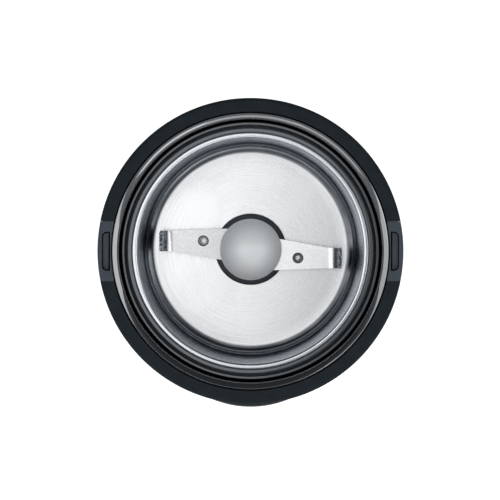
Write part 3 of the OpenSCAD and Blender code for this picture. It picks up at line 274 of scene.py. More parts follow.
def make_group(name, inputs, outputs):
    """An empty node group with its sockets, (name, type, default) each."""
    tree = bpy.data.node_groups.new(name, "ShaderNodeTree")
    for label, kind, default in inputs:
        socket = tree.interface.new_socket(label, in_out="INPUT", socket_type=kind)
        if default is not None:
            socket.default_value = default
    for label, kind in outputs:
        tree.interface.new_socket(label, in_out="OUTPUT", socket_type=kind)
    return tree, tree.nodes.new("NodeGroupInput"), tree.nodes.new("NodeGroupOutput")


def use_group(tree, name, **values):
    """Places a group in a tree with its own values."""
    node = tree.nodes.new("ShaderNodeGroup")
    node.node_tree = bpy.data.node_groups[name]
    return feed(tree, node, **values)


# ---------------------------------------------------------------- shared effects

def build_moulded_grain():
    """Fine pebbled grain of a spark-eroded mould, as a normal and a mask of its pits."""
    tree, source, target = make_group(
        "Moulded Grain",
        [("Vector", "NodeSocketVector", None), ("Scale", "NodeSocketFloat", 2600.0),
         ("Depth", "NodeSocketFloat", 0.00004), ("Strength", "NodeSocketFloat", 0.4)],
        [("Normal", "NodeSocketVector"), ("Pits", "NodeSocketFloat")])
    cells = add(tree, "TexVoronoi", feature="SMOOTH_F1")
    cells.inputs["Smoothness"].default_value = 0.6
    link(tree, source.outputs["Vector"], cells.inputs["Vector"])
    link(tree, source.outputs["Scale"], cells.inputs["Scale"])
    soft = add(tree, "TexNoise")
    soft.inputs["Detail"].default_value = 3.0
    link(tree, source.outputs["Vector"], soft.inputs["Vector"])
    link(tree, math_node(tree, "MULTIPLY", source.outputs["Scale"], 0.45), soft.inputs["Scale"])
    height = math_node(tree, "ADD", cells.outputs["Distance"], soft.outputs["Fac"])
    node = add(tree, "Bump")
    link(tree, source.outputs["Strength"], node.inputs["Strength"])
    link(tree, source.outputs["Depth"], node.inputs["Distance"])
    link(tree, height, node.inputs["Height"])
    link(tree, node.outputs["Normal"], target.inputs["Normal"])
    link(tree, remap(tree, height, 0.5, 1.3, 0.0, 1.0), target.inputs["Pits"])


def build_edge_wear():
    """Where an edge is rubbed bright: the rounded normal leaves the flat one, with noise."""
    tree, source, target = make_group(
        "Edge Wear",
        [("Vector", "NodeSocketVector", None), ("Width", "NodeSocketFloat", 0.0004),
         ("Amount", "NodeSocketFloat", 0.5)],
        [("Mask", "NodeSocketFloat")])
    rounded = add(tree, "Bevel", samples=4)
    link(tree, source.outputs["Width"], rounded.inputs["Radius"])
    flat = add(tree, "NewGeometry")
    meet = add(tree, "VectorMath", operation="DOT_PRODUCT")
    link(tree, rounded.outputs["Normal"], meet.inputs[0])
    link(tree, flat.outputs["Normal"], meet.inputs[1])
    edge = remap(tree, meet.outputs["Value"], 1.0, 0.93, 0.0, 1.0)
    broken = remap(tree, noise(tree, source.outputs["Vector"], 900.0, 5.0, 0.65), 0.35, 0.7, 0.0,
                   1.0)
    mask = math_node(tree, "MULTIPLY", edge, broken)
    link(tree, math_node(tree, "MULTIPLY", mask, source.outputs["Amount"], clamp=True),
         target.inputs["Mask"])


def build_turned_brushing():
    """Fine rings round the Z axis, as brushing on a lathe leaves them, with short breaks."""
    tree, source, target = make_group(
        "Turned Brushing",
        [("Vector", "NodeSocketVector", None), ("Scale", "NodeSocketFloat", 5200.0),
         ("Stretch", "NodeSocketFloat", 1.2)],
        [("Rings", "NodeSocketFloat"), ("Bands", "NodeSocketFloat"),
         ("Streaks", "NodeSocketFloat")])
    parts = separate(tree, source.outputs["Vector"])
    radius = axis_radius(tree, parts)
    angle = math_node(tree, "ARCTAN2", parts.outputs[1], parts.outputs[0])
    side = math_node(tree, "ADD", radius, math_node(tree, "MULTIPLY", parts.outputs[2], 0.83))
    place = add(tree, "CombineXYZ")
    link(tree, math_node(tree, "MULTIPLY", side, source.outputs["Scale"]), place.inputs[0])
    round_axis = [math_node(tree, way, angle) for way in ("COSINE", "SINE")]
    for i, way in enumerate(round_axis):
        link(tree, math_node(tree, "MULTIPLY", way, source.outputs["Stretch"]), place.inputs[i + 1])
    link(tree, noise(tree, place.outputs[0], 1.0, 6.0, 0.62), target.inputs["Rings"])
    link(tree, noise(tree, place.outputs[0], 0.09, 3.0, 0.5), target.inputs["Bands"])
    ray = add(tree, "CombineXYZ")
    for i, way in enumerate(round_axis):
        link(tree, way, ray.inputs[i])
    link(tree, noise(tree, ray.outputs[0], 2.2, 3.0, 0.5), target.inputs["Streaks"])


def build_handling():
    """Faint smears and dust that dull a polished surface unevenly."""
    tree, source, target = make_group(
        "Handling",
        [("Vector", "NodeSocketVector", None), ("Size", "NodeSocketFloat", 60.0)],
        [("Smears", "NodeSocketFloat"), ("Dust", "NodeSocketFloat")])
    smear = add(tree, "TexNoise")
    smear.inputs["Detail"].default_value = 5.0
    smear.inputs["Distortion"].default_value = 1.2
    link(tree, source.outputs["Vector"], smear.inputs["Vector"])
    link(tree, source.outputs["Size"], smear.inputs["Scale"])
    link(tree, remap(tree, smear.outputs["Fac"], 0.35, 0.75, 0.0, 1.0), target.inputs["Smears"])
    speck = noise(tree, source.outputs["Vector"], 4200.0, 2.0, 0.5)
    link(tree, remap(tree, speck, 0.70, 0.78, 0.0, 1.0), target.inputs["Dust"])


# ---------------------------------------------------------------- finishes

DUST = (0.35, 0.35, 0.35)
# Reflections of dark plastic are a little blue
COOL_SHINE = (0.84, 0.94, 1.0, 1.0)
# The colour of painted shade in the blade's holes, on its turned up tips and at its sheared edges
PAINTED_SHADE = (0.075, 0.085, 0.10)


def plastic(name, colour, rough, grain=0.0, scale=2600.0, coat=0.0, wear=0.25, specular=0.5,
            coat_ior=1.5, mottle=0.14):
    """Moulded plastic: grain, rubbed edges, smears and a little dust."""
    tree, shader = new_material(name)
    point = object_point(tree)
    pale = tuple(min(1.0, c * 2.2 + 0.02) for c in colour)
    edge = use_group(tree, "Edge Wear", Vector=point, Width=0.00035, Amount=wear)
    care = use_group(tree, "Handling", Vector=point, Size=70.0)
    mottled = mix_colour(
        tree, noise(tree, point, 220.0, 3.0), shade(colour, 1.0 - mottle),
        shade(colour, 1.0 + mottle))
    wear_and_shade = mix_colour(tree, edge.outputs["Mask"], mottled, pale)
    dust = math_node(tree, "MULTIPLY", care.outputs["Dust"], 0.10)
    feed(tree, shader, Base_Color=mix_colour(tree, dust, wear_and_shade, DUST))
    base = remap(tree, care.outputs["Smears"], 0.0, 1.0, rough - 0.04, min(1.0, rough + 0.05))
    if grain > 0.0:
        grains = use_group(
            tree, "Moulded Grain", Vector=point, Scale=scale, Depth=0.00005, Strength=grain)
        normal = grains.outputs["Normal"]
        pits = math_node(tree, "MULTIPLY", grains.outputs["Pits"], 0.08)
        base = math_node(tree, "ADD", base, pits, clamp=True)
    else:
        normal = bump(tree, noise(tree, point, 380.0, 2.0), 0.02, 0.00002)
    link(tree, normal, shader.inputs["Normal"])
    feed(tree, shader, Roughness=base, Specular_IOR_Level=specular, Specular_Tint=COOL_SHINE,
         Coat_Weight=coat, Coat_Roughness=0.06, Coat_IOR=coat_ior)


def turned_steel(name, colour, rough, depth, contrast):
    """Stainless sheet brushed in circles round the axis."""
    tree, shader = new_material(name)
    point = object_point(tree)
    rings = use_group(tree, "Turned Brushing", Vector=point, Scale=5200.0, Stretch=1.4)
    care = use_group(tree, "Handling", Vector=point, Size=45.0)
    lined = mix_colour(tree, rings.outputs["Rings"], shade(colour, 1.0 - contrast), colour)
    bands = remap(tree, rings.outputs["Bands"], 0.4, 0.65, 0.0, 0.35)
    banded = mix_colour(tree, bands, lined, shade(colour, 0.93))
    place = separate(tree, point)
    radius = axis_radius(tree, place)
    # painted shade: the drawn wall is darker and duller than the brushed bottom and the rolled lip,
    # darkest at its foot
    wall = remap(tree, radius, BOWL_R - 4.25 * MM, BOWL_R - 3.5 * MM, 0.0, 1.0)
    lip = remap(tree, place.outputs["Z"], RIM_Z - 1.9 * MM, RIM_Z - 0.55 * MM, 1.0, 0.0)
    wall_shade = math_node(tree, "MULTIPLY", wall, lip)
    # painted shade: the top of the rolled lip is a little darker, to tone down its highlight
    banded = mix_colour(tree, lip, shade(colour, 0.80, 0.825, 0.85), banded)
    cloudy = remap(tree, rings.outputs["Streaks"], 0.35, 0.65, 0.88, 1.0)
    rise = remap(tree, radius, BOWL_R - 2.3 * MM, BOWL_R - 1.1 * MM, 0.0, 1.0)
    wall_shade_tone = mix_colour(
        tree, rise, shade(colour, 0.085, 0.096, 0.108), shade(colour, 0.58, 0.62, 0.665))
    spread = remap(tree, rings.outputs["Rings"], 0.3, 0.7, rough - 0.05, rough + 0.06)
    smears = math_node(tree, "MULTIPLY", care.outputs["Smears"], 0.05)
    around = add(tree, "Tangent", direction_type="RADIAL", axis="Z")
    feed(tree, shader, Metallic=1.0, Anisotropic=0.35, Tangent=around.outputs["Tangent"],
         Base_Color=mix_colour(tree, math_node(tree, "MULTIPLY", wall_shade, cloudy), banded,
                               wall_shade_tone),
         Specular_Tint=mix_colour(tree, wall_shade, (1.0, 1.0, 1.0), (0.62, 0.65, 0.68)),
         Roughness=math_node(tree, "ADD", spread, smears, clamp=True),
         Normal=bump(tree, rings.outputs["Rings"], 0.35, depth))


def blade_painted_shade(tree, point):
    """A mask of painted shade on the blade's turned up tips, in its holes and on their rims, and on
    its sheared edges.
    """
    place = separate(tree, point)
    across = math_node(tree, "ABSOLUTE", place.outputs["X"])
    # painted reflection of the bowl's dark wall: the turned up tips are darker, broken up by noise
    tip = remap(tree, across, 31.1 * MM, 31.35 * MM, 0.0, 1.0)
    wear_and_shade = remap(tree, noise(tree, point, 1500.0, 4.0), 0.52, 0.62, 1.0, 0.35)
    side = math_node(tree, "SIGN", place.outputs["X"])
    over = math_node(tree, "MULTIPLY", place.outputs["Y"], side)
    along_x = math_node(tree, "POWER", math_node(tree, "SUBTRACT", across, 17.7 * MM), 2.0)
    along_y = math_node(tree, "POWER", math_node(tree, "ADD", over, 3.2 * MM), 2.0)
    from_hole = math_node(tree, "SQRT", math_node(tree, "ADD", along_x, along_y))
    rim = remap(tree, from_hole, 1.98 * MM, 2.12 * MM, 1.0, 0.0)
    # painted shade fills the hole of one wing more than that of the other
    hole_shade = remap(tree, place.outputs["X"], -1.0 * MM, 1.0 * MM, 0.10, 0.62)
    hole_shade = math_node(tree, "MAXIMUM", hole_shade, remap(tree, from_hole, 1.2 * MM, 1.9 * MM, 0.0, 0.85))
    painted_shade = math_node(tree, "MAXIMUM", math_node(tree, "MULTIPLY", tip, wear_and_shade),
                      math_node(tree, "MULTIPLY", rim, hole_shade))
    # painted shade: the sheared edges, the faces that look sideways, are darker than the ground
    # faces
    facing = separate(tree, add(tree, "NewGeometry").outputs["True Normal"])
    side_shade = remap(tree, math_node(tree, "ABSOLUTE", facing.outputs["Z"]), 0.25, 0.6, 0.9, 0.0)
    return math_node(tree, "MAXIMUM", painted_shade, side_shade)


def ground_steel(name, colour, rough, along=(1.0, 14.0, 14.0), painted_shade=None):
    """Metal with straight grinding lines and rubbed edges."""
    tree, shader = new_material(name)
    point = object_point(tree)
    stretch = add(tree, "Mapping")
    stretch.inputs["Scale"].default_value = along
    link(tree, point, stretch.inputs["Vector"])
    lines = noise(tree, stretch.outputs["Vector"], 420.0, 6.0, 0.65)
    edge = use_group(tree, "Edge Wear", Vector=point, Width=0.0003, Amount=0.6)
    body = mix_colour(tree, lines, shade(colour, 0.84), shade(colour, 1.08))
    rubbed = mix_colour(tree, edge.outputs["Mask"], body, (0.85, 0.85, 0.86))
    if painted_shade:
        # painted shade from the given mask, laid over the rubbed edges
        rubbed = mix_colour(tree, painted_shade(tree, point), rubbed, PAINTED_SHADE)
    feed(tree, shader, Metallic=1.0, Base_Color=rubbed, Normal=bump(tree, lines, 0.25, 0.00002),
         Roughness=remap(tree, lines, 0.3, 0.7, rough - 0.05, rough + 0.08))


def wound_wire(name, colour):
    """Enamelled wire in close turns."""
    tree, shader = new_material(name)
    point = object_point(tree)
    turns = add(tree, "TexWave", wave_type="BANDS", bands_direction="DIAGONAL")
    wire = feed(tree, turns, Vector=point, Scale=700.0, Distortion=0.6).outputs["Fac"]
    feed(tree, shader, Metallic=0.6, Base_Color=mix_colour(tree, wire, shade(colour, 0.45), colour),
         Normal=bump(tree, wire, 0.7, 0.0002),
         Roughness=remap(tree, noise(tree, point, 300.0), 0.0, 1.0, 0.25, 0.4))


def laminated(name, colour):
    """The stacked edges of an iron core."""
    tree, shader = new_material(name)
    point = object_point(tree)
    sheets = add(tree, "TexWave", wave_type="BANDS", bands_direction="Z")
    stack = feed(tree, sheets, Vector=point, Scale=320.0).outputs["Fac"]
    rust = remap(tree, noise(tree, point, 260.0, 6.0), 0.55, 0.7, 0.0, 0.35)
    lined = mix_colour(tree, stack, shade(colour, 0.55), colour)
    feed(tree, shader, Metallic=0.9, Base_Color=mix_colour(tree, rust, lined, (0.16, 0.08, 0.04)),
         Normal=bump(tree, stack, 0.5, 0.0001), Roughness=remap(tree, rust, 0.0, 0.35, 0.38, 0.7))


def translucent_plastic(name, colour):
    """Milky plastic that light enters a little, with a satin skin."""
    tree, shader = new_material(name)
    point = object_point(tree)
    grains = use_group(
        tree, "Moulded Grain", Vector=point, Scale=5200.0, Depth=0.00002, Strength=0.25)
    care = use_group(tree, "Handling", Vector=point, Size=90.0)
    cloudy = mix_colour(
        tree, noise(tree, point, 130.0, 2.0), shade(colour, 0.96), shade(colour, 1.03))
    feed(tree, shader, Base_Color=cloudy, Normal=grains.outputs["Normal"], Metallic=0.14,
         Roughness=remap(tree, care.outputs["Smears"], 0.0, 1.0, 0.42, 0.52),
         Sheen_Weight=0.95, Sheen_Roughness=0.6, Specular_IOR_Level=0.35,
         Subsurface_Weight=0.12, Subsurface_Radius=(1.0, 1.0, 1.0), Subsurface_Scale=0.004)


def build_finishes():
    """Every finish of the grinder, by name."""
    tones = colours()
    build_moulded_grain()
    build_edge_wear()
    build_turned_brushing()
    build_handling()
    plastic("Collar Plastic", tuple(tones.collar), 0.62, grain=0.9, scale=1900.0, wear=0.08,
            specular=0.16, mottle=0.34)
    plastic("Housing Plastic", shade(tones.collar, 0.95), 0.44, grain=0.6, scale=2400.0,
            specular=0.30)
    plastic("Insert Plastic", tuple(tones.insert), 0.46, grain=0.2, scale=4200.0, specular=0.2)
    plastic("Rod Plastic", (0.085, 0.098, 0.115), 0.50, grain=0.9, scale=1500.0, specular=0.3)
    plastic("Well Gloss", tuple(tones.gloss), 0.16, coat=1.0, wear=0.05, specular=1.0, coat_ior=2.4)
    plastic("Button Gloss", (0.006, 0.006, 0.007), 0.16, coat=0.6, wear=0.08)
    plastic("Sleeve Satin", tuple(tones.sleeve), 0.24, coat=0.5, wear=0.10, specular=0.6,
            coat_ior=1.9)
    plastic("Seal Plastic", (0.024, 0.030, 0.037), 0.40, grain=0.15, scale=4000.0)
    plastic("Base Plastic", (0.020, 0.020, 0.022), 0.62, grain=0.6)
    plastic("Rubber", (0.012, 0.012, 0.012), 0.82, grain=0.5, scale=3200.0, specular=0.3)
    plastic("Gasket Rubber", (0.30, 0.31, 0.32), 0.70, grain=0.2)
    plastic("Bearing Plastic", (0.09, 0.10, 0.115), 0.50, grain=0.3)
    plastic("Nylon", (0.018, 0.018, 0.020), 0.45, grain=0.35)
    plastic("Fan Plastic", (0.62, 0.59, 0.50), 0.45, grain=0.1)
    plastic("Phenolic", (0.20, 0.07, 0.03), 0.40, grain=0.2)
    plastic("Carbon", (0.020, 0.020, 0.022), 0.58, grain=0.8, scale=5200.0)
    plastic("Board Resist", (0.015, 0.11, 0.045), 0.35, grain=0.1)
    plastic("Board Parts", (0.48, 0.38, 0.10), 0.40, grain=0.1)
    plastic("Switch Plastic", (0.03, 0.034, 0.040), 0.48, grain=0.3)
    plastic("Plunger Plastic", (0.42, 0.04, 0.025), 0.42, grain=0.1)
    turned_steel("Bowl Steel", tuple(tones.steel), 0.23, 0.000012, 0.13)
    ground_steel("Blade Steel", shade(tones.steel, 0.93), 0.26, painted_shade=blade_painted_shade)
    ground_steel("Shaft Steel", (0.56, 0.57, 0.58), 0.22, along=(14.0, 14.0, 1.0))
    ground_steel("Screw Steel", (0.46, 0.47, 0.48), 0.32)
    ground_steel("Bracket Steel", (0.50, 0.51, 0.53), 0.36)
    ground_steel("Spring Steel", (0.58, 0.59, 0.60), 0.26)
    ground_steel("Bronze", (0.50, 0.34, 0.13), 0.38, along=(9.0, 9.0, 1.0))
    ground_steel("Commutator Copper", (0.60, 0.30, 0.17), 0.30, along=(1.0, 1.0, 14.0))
    wound_wire("Enamelled Wire", (0.52, 0.17, 0.05))
    laminated("Core Laminations", (0.30, 0.31, 0.32))
    translucent_plastic("Cap Plastic", tuple(tones.cap))


# The finish of every node that keeps its own solid
NODE_FINISH = {
    "housing": "Housing Plastic", "collar": "Collar Plastic", "cup_well": "Well Gloss",
    "lock_insert_left": "Insert Plastic", "lock_insert_right": "Insert Plastic",
    "base_plate": "Base Plastic", "base_screws": "Screw Steel", "foot_ring": "Rubber",
    "cord_gland": "Rubber", "cord_clamp": "Base Plastic",
    "stator_core": "Core Laminations", "field_coils": "Enamelled Wire",
    "upper_bracket": "Bracket Steel", "lower_bracket": "Bracket Steel",
    "upper_bush": "Bronze", "lower_bush": "Bronze",
    "brush_holders": "Phenolic", "carbon_brushes": "Carbon",
    "motor_screws": "Screw Steel", "motor_grommets": "Rubber", "mount_screws": "Screw Steel",
    "circuit_board": "Board Resist", "board_components": "Board Parts",
    "interlock_switches": "Switch Plastic", "start_switch": "Switch Plastic",
    "rod_spring_left": "Spring Steel", "rod_spring_right": "Spring Steel",
    "button_spring": "Spring Steel",
    "motor_shaft": "Shaft Steel", "armature_core": "Core Laminations",
    "armature_windings": "Enamelled Wire", "commutator": "Commutator Copper",
    "cooling_fan": "Fan Plastic", "drive_dog": "Nylon",
    "steel_bowl": "Bowl Steel", "cup_sleeve": "Sleeve Satin", "cup_bearing": "Bearing Plastic",
    "cup_bush": "Bronze", "cup_screws": "Screw Steel", "bowl_gasket": "Gasket Rubber",
    "hub_seal": "Seal Plastic",
    "blade": "Blade Steel", "hub_cap": "Cap Plastic", "blade_spindle": "Shaft Steel",
    "blade_nut": "Screw Steel", "driven_dog": "Nylon",
    "interlock_rod_left": "Rod Plastic", "interlock_rod_right": "Rod Plastic",
    "switch_plunger_left": "Plunger Plastic", "switch_plunger_right": "Plunger Plastic",
    "start_button": "Button Gloss", "start_plunger": "Plunger Plastic",
}


def set_finish(piece, name):
    """Gives a piece one finish."""
    piece.data.materials.clear()
    piece.data.materials.append(bpy.data.materials[name])


def finish_nodes():
    """Gives every node its finish."""
    for name, node in NODES.items():
        set_finish(node, NODE_FINISH[name])


class GRINDER_OT_finishes(bpy.types.Operator):
    """Build every finish and give each frame node its own"""
    bl_idname = "grinder.finishes"
    bl_label = "Build Finishes"
    bl_options = {"REGISTER", "UNDO"}

    def execute(self, context):
        build_finishes()
        finish_nodes()
        return {"FINISHED"}


# ---------------------------------------------------------------- modelling helpers

def clear_selection():
    """Leaves edit mode and selects nothing."""
    if bpy.context.object and bpy.context.object.mode != "OBJECT":
        bpy.ops.object.mode_set(mode="OBJECT")
    bpy.ops.object.select_all(action="DESELECT")


def pick(piece):
    """Selects one piece alone and makes it the active one."""
    clear_selection()
    piece.select_set(True)
    bpy.context.view_layer.objects.active = piece


def apply_tool(piece, kind, **values):
    """Adds a modifier with its settings to a piece and applies it."""
    pick(piece)
    tool = piece.modifiers.new(kind.title(), kind)
    for key, value in values.items():
        setattr(tool, key, value)
    bpy.ops.object.modifier_apply(modifier=tool.name)
    return piece


def end_edit(merge=True):
    """Closes doubled points if asked, turns the normals outwards and leaves edit mode."""
    bpy.ops.mesh.select_all(action="SELECT")
    if merge:
        bpy.ops.mesh.remove_doubles(threshold=MERGE)
    bpy.ops.mesh.normals_make_consistent(inside=False)
    bpy.ops.object.mode_set(mode="OBJECT")


def arc(across, up, radius, start, end, steps=6):
    """Points of an arc about (across, up), from one angle to another in degrees."""
    points = []
    for i in range(steps + 1):
        angle = math.radians(start + (end - start) * i / steps)
        points.append((across + radius * math.cos(angle), up + radius * math.sin(angle)))
    return points


def mm(points):
    """Points in millimetres as metres."""
    return [(a * MM, b * MM) for a, b in points]


def smooth(piece, angle=32.0):
    """Smooth shading with hard edges above an angle."""
    pick(piece)
    bpy.ops.object.shade_smooth_by_angle(angle=math.radians(angle))


# Points nearer than this are one
MERGE = 0.000002
# Steps of one turn of a coil
COIL_STEPS = 28
# A ring this small closes to one point where a turned piece meets its axis
POLE = 0.0000005


def turn(name, profile, steps=None):
    """A solid turned round Z from its closed section, a list of (radius, height) in metres."""
    clear_selection()
    radius, height = profile[0]
    bpy.ops.mesh.primitive_circle_add(vertices=steps or sizes().segments, radius=radius)
    piece = bpy.context.object
    piece.name = name
    bpy.ops.object.mode_set(mode="EDIT")
    bpy.ops.mesh.select_all(action="SELECT")
    bpy.ops.transform.translate(value=(0.0, 0.0, height))
    for next_radius, next_height in profile[1:]:
        bpy.ops.mesh.extrude_edges_move(
            TRANSFORM_OT_translate={"value": (0.0, 0.0, next_height - height)})
        ratio = next_radius / radius
        bpy.ops.transform.resize(value=(ratio, ratio, 1.0), center_override=(0.0, 0.0, 0.0))
        radius, height = next_radius, next_height
    end_edit()
    return piece


def block(name, low, high, round_by=0.0, steps=3):
    """A box between two corners, its edges rounded."""
    clear_selection()
    bpy.ops.mesh.primitive_cube_add(size=1.0)
    piece = bpy.context.object
    piece.name = name
    bpy.ops.object.mode_set(mode="EDIT")
    bpy.ops.mesh.select_all(action="SELECT")
    span = [h - l for l, h in zip(low, high)]
    bpy.ops.transform.resize(value=span, center_override=(0.0, 0.0, 0.0))
    bpy.ops.transform.translate(value=[(h + l) / 2 for l, h in zip(low, high)])
    if round_by > 0.0:
        bpy.ops.mesh.bevel(offset=round_by, segments=steps, affect="EDGES")
    bpy.ops.object.mode_set(mode="OBJECT")
    return piece


def lay(piece, turn_by, move_by=(0.0, 0.0, 0.0)):
    """Turns a piece's mesh by angles in degrees, then shifts it."""
    pick(piece)
    piece.rotation_euler = [math.radians(angle) for angle in turn_by]
    piece.location = move_by
    bpy.ops.object.transform_apply(location=True, rotation=True, scale=True)
    return piece


def swing(piece, degrees):
    """Turns a piece's mesh round Z."""
    return lay(piece, (0.0, 0.0, degrees))


def shift(piece, x, y, z):
    """Moves a piece's mesh."""
    return lay(piece, (0.0, 0.0, 0.0), (x, y, z))


def bar(name, outline, low, high):
    """A solid with a straight section: an outline of (x, y) points drawn up from low to high."""
    clear_selection()
    bpy.ops.mesh.primitive_circle_add(vertices=len(outline), radius=1.0, fill_type="NGON")
    piece = bpy.context.object
    piece.name = name
    for vertex, (x, y) in zip(piece.data.vertices, outline):
        vertex.co = (x, y, low)
    bpy.ops.object.mode_set(mode="EDIT")
    bpy.ops.mesh.select_all(action="SELECT")
    bpy.ops.mesh.extrude_region_move(TRANSFORM_OT_translate={"value": (0.0, 0.0, high - low)})
    end_edit(merge=False)
    return piece


def rounded(across, up, corner, steps=8):
    """The outline of a rectangle with round corners, about the origin."""
    points = []
    for i, (sx, sy) in enumerate(((1, 1), (-1, 1), (-1, -1), (1, -1))):
        points += arc(sx * (across / 2 - corner), sy * (up / 2 - corner), corner, 90 * i,
                      90 * i + 90, steps)
    return points


def coil(name, radius, wire, height, turns):
    """A coil spring of round wire that stands on the origin, by its middle radius and turns."""
    clear_selection()
    bpy.ops.mesh.primitive_circle_add(vertices=12, radius=wire)
    piece = bpy.context.object
    piece.name = name
    lay(piece, (90.0, 0.0, 0.0), (radius, 0.0, wire))
    apply_tool(
        piece, "SCREW", axis="Z", angle=math.radians(360.0),
        screw_offset=(height - 2.0 * wire) / turns,
        iterations=turns, steps=COIL_STEPS, render_steps=COIL_STEPS)
    bpy.ops.object.mode_set(mode="EDIT")
    bpy.ops.mesh.select_all(action="SELECT")
    bpy.ops.mesh.remove_doubles(threshold=MERGE)
    bpy.ops.mesh.fill_holes(sides=16)
    end_edit(merge=False)
    return piece


def combine(piece, others, operation="DIFFERENCE"):
    """Cuts the others out of a piece, or adds them to it, and drops them."""
    for other in others:
        apply_tool(piece, "BOOLEAN", operation=operation, solver="EXACT", object=other)
        bpy.data.objects.remove(other, do_unlink=True)
    return piece


def soften(piece, width, steps=2, angle=40.0):
    """Rounds a piece's sharp edges with an applied Bevel."""
    return apply_tool(piece, "BEVEL", width=width, segments=steps, limit_method="ANGLE",
                      angle_limit=math.radians(angle))


def settle(piece):
    """Smooth shading whose normals follow the large faces, so that flats stay flat."""
    smooth(piece)
    return apply_tool(piece, "WEIGHTED_NORMAL", keep_sharp=True, weight=100)


def dress(piece, finish, body, *nodes):
    """Finishes a piece, puts it on its body and lets it stand for its nodes."""
    if not piece.data.has_custom_normals:
        smooth(piece)
    set_finish(piece, finish)
    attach(piece, body)
    if nodes:
        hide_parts(*nodes)
    clear_selection()
    return piece


# ---------------------------------------------------------------- housing

WALL = 2.0 * MM
BASE_R = HOUSING_HIGH.x
SHELL_TOP_R = COLLAR_HIGH.x - 0.4 * MM
SHELL_LOW = HOUSING_LOW.z
SHELL_HIGH = HOUSING_HIGH.z
EDGE_R = 6.0 * MM
STRAIGHT_Z = SHELL_LOW + 22.0 * MM
PLATE_TOP = SHELL_LOW + 3.0 * MM
OPENING_R = BASE_R - EDGE_R - 1.0 * MM
GLAND_Z = PLATE_TOP + 11.0 * MM
SHELF_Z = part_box("cooling_fan")[1].z + 1.0 * MM
SHELF_IN_R = 36.0 * MM
SHELF_HALF = 12.0 * MM
SPRING_X = (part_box("rod_spring_right")[0].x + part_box("rod_spring_right")[1].x) / 2.0
FACE_R = 37.0 * MM
NOSE_Y = FACE_R + BUTTON_LOW.y
BUTTON_Z = BUTTON_HIGH.z - 11.0 * MM
BUTTON_HALF = 11.0 * MM
BUTTON_W = 35.0 * MM
BUTTON_GAP = 0.35 * MM
FRAME_W = 2.4 * MM
RIB_ANGLES = (-45.0, 225.0, 15.0, 165.0, 52.0, 128.0)
RIB_HALF = 0.9 * MM
BOSS_R = 4.0 * MM
BOSS_RING = 42.2 * MM
PILOT_R = 1.3 * MM
BOSS_SKIN = 0.7 * MM


def shell_r(height):
    """Outer radius of the shell at a height above its straight foot."""
    return BASE_R - (BASE_R - SHELL_TOP_R) * (height - STRAIGHT_Z) / (SHELL_HIGH - STRAIGHT_Z)


def button_bar(name, grow, depth=70.0 * MM):
    """The button's outline from the front, grown by a margin, as a bar along Y."""
    piece = bar(name, rounded(BUTTON_W + 2 * grow, 2 * BUTTON_HALF + 2 * grow, 6.0 * MM + grow),
                0.0, depth)
    return lay(piece, (90.0, 0.0, 0.0), (0.0, 0.0, BUTTON_Z))


def hollow(name, grow):
    """The room inside the shell, grown outwards by an amount, as a solid."""
    corner = BASE_R - EDGE_R
    points = [(POLE, SHELL_LOW + WALL), (corner, SHELL_LOW + WALL)]
    points += arc(corner, SHELL_LOW + EDGE_R, EDGE_R - WALL + grow, -90, 0, 8)[1:]
    points += [(BASE_R - WALL + grow, STRAIGHT_Z),
               (SHELL_TOP_R - WALL + grow, SHELL_HIGH + 1.0 * MM)]
    points += [(POLE, SHELL_HIGH + 1.0 * MM)]
    return turn(name, points)


def button_frame():
    """The raised frame round the start button, its edges rounded."""
    half = BUTTON_HALF + BUTTON_GAP + FRAME_W
    radius = FACE_R - 1.5 * MM
    frame_ring = turn("frame_ring",
                      [(POLE, -half), (radius, -half), (radius, half), (POLE, half)], 256)
    shift(frame_ring, 0.0, NOSE_Y, BUTTON_Z)
    combine(frame_ring, [button_bar("frame_outline", BUTTON_GAP + FRAME_W)], "INTERSECT")
    front = block("front", (-60 * MM, -70 * MM, BUTTON_Z - 20 * MM),
                  (60 * MM, -45.6 * MM, BUTTON_Z + 20 * MM))
    combine(frame_ring, [front], "INTERSECT")
    combine(frame_ring, [button_bar("window", BUTTON_GAP)])
    soften(frame_ring, 0.7 * MM, 4, 50.0)
    combine(frame_ring, [hollow("room", 0.04 * MM)])
    behind = turn("behind", [
        (POLE, -20 * MM), (radius - WALL, -20 * MM), (radius - WALL, 20 * MM), (POLE, 20 * MM)],
        256)
    shift(behind, 0.0, NOSE_Y, BUTTON_Z)
    combine(behind, [button_bar("lips", 1.9 * MM)], "INTERSECT")
    return combine(frame_ring, [behind])


def shelf(degrees):
    """A shelf for a switch, on two webs, at one side of the housing."""
    reach = shell_r(SHELF_Z) - WALL / 2.0
    outline = [(SHELF_IN_R, -SHELF_HALF)]
    sweep = math.degrees(math.asin(SHELF_HALF / reach))
    outline += arc(0.0, 0.0, reach, -sweep, sweep, 12) + [(SHELF_IN_R, SHELF_HALF)]
    board = bar("shelf", outline, SHELF_Z, SHELF_Z + 2.0 * MM)
    far = math.sqrt(reach * reach - SHELF_HALF * SHELF_HALF)
    webs = []
    for side in (-SHELF_HALF + 0.1 * MM, SHELF_HALF - 1.9 * MM):
        web = bar("web", [
            (SHELF_IN_R + 1.0 * MM, SHELF_Z + 0.2 * MM),
            (SHELF_IN_R + 1.0 * MM, SHELF_Z - 2.0 * MM),
            (far, SHELF_Z - 14.0 * MM), (far, SHELF_Z + 0.2 * MM)], 0.0, 1.8 * MM)
        webs.append(lay(web, (90.0, 0.0, 0.0), (0.0, side + 1.8 * MM, 0.0)))
    combine(board, webs, "UNION")
    return swing(board, degrees)


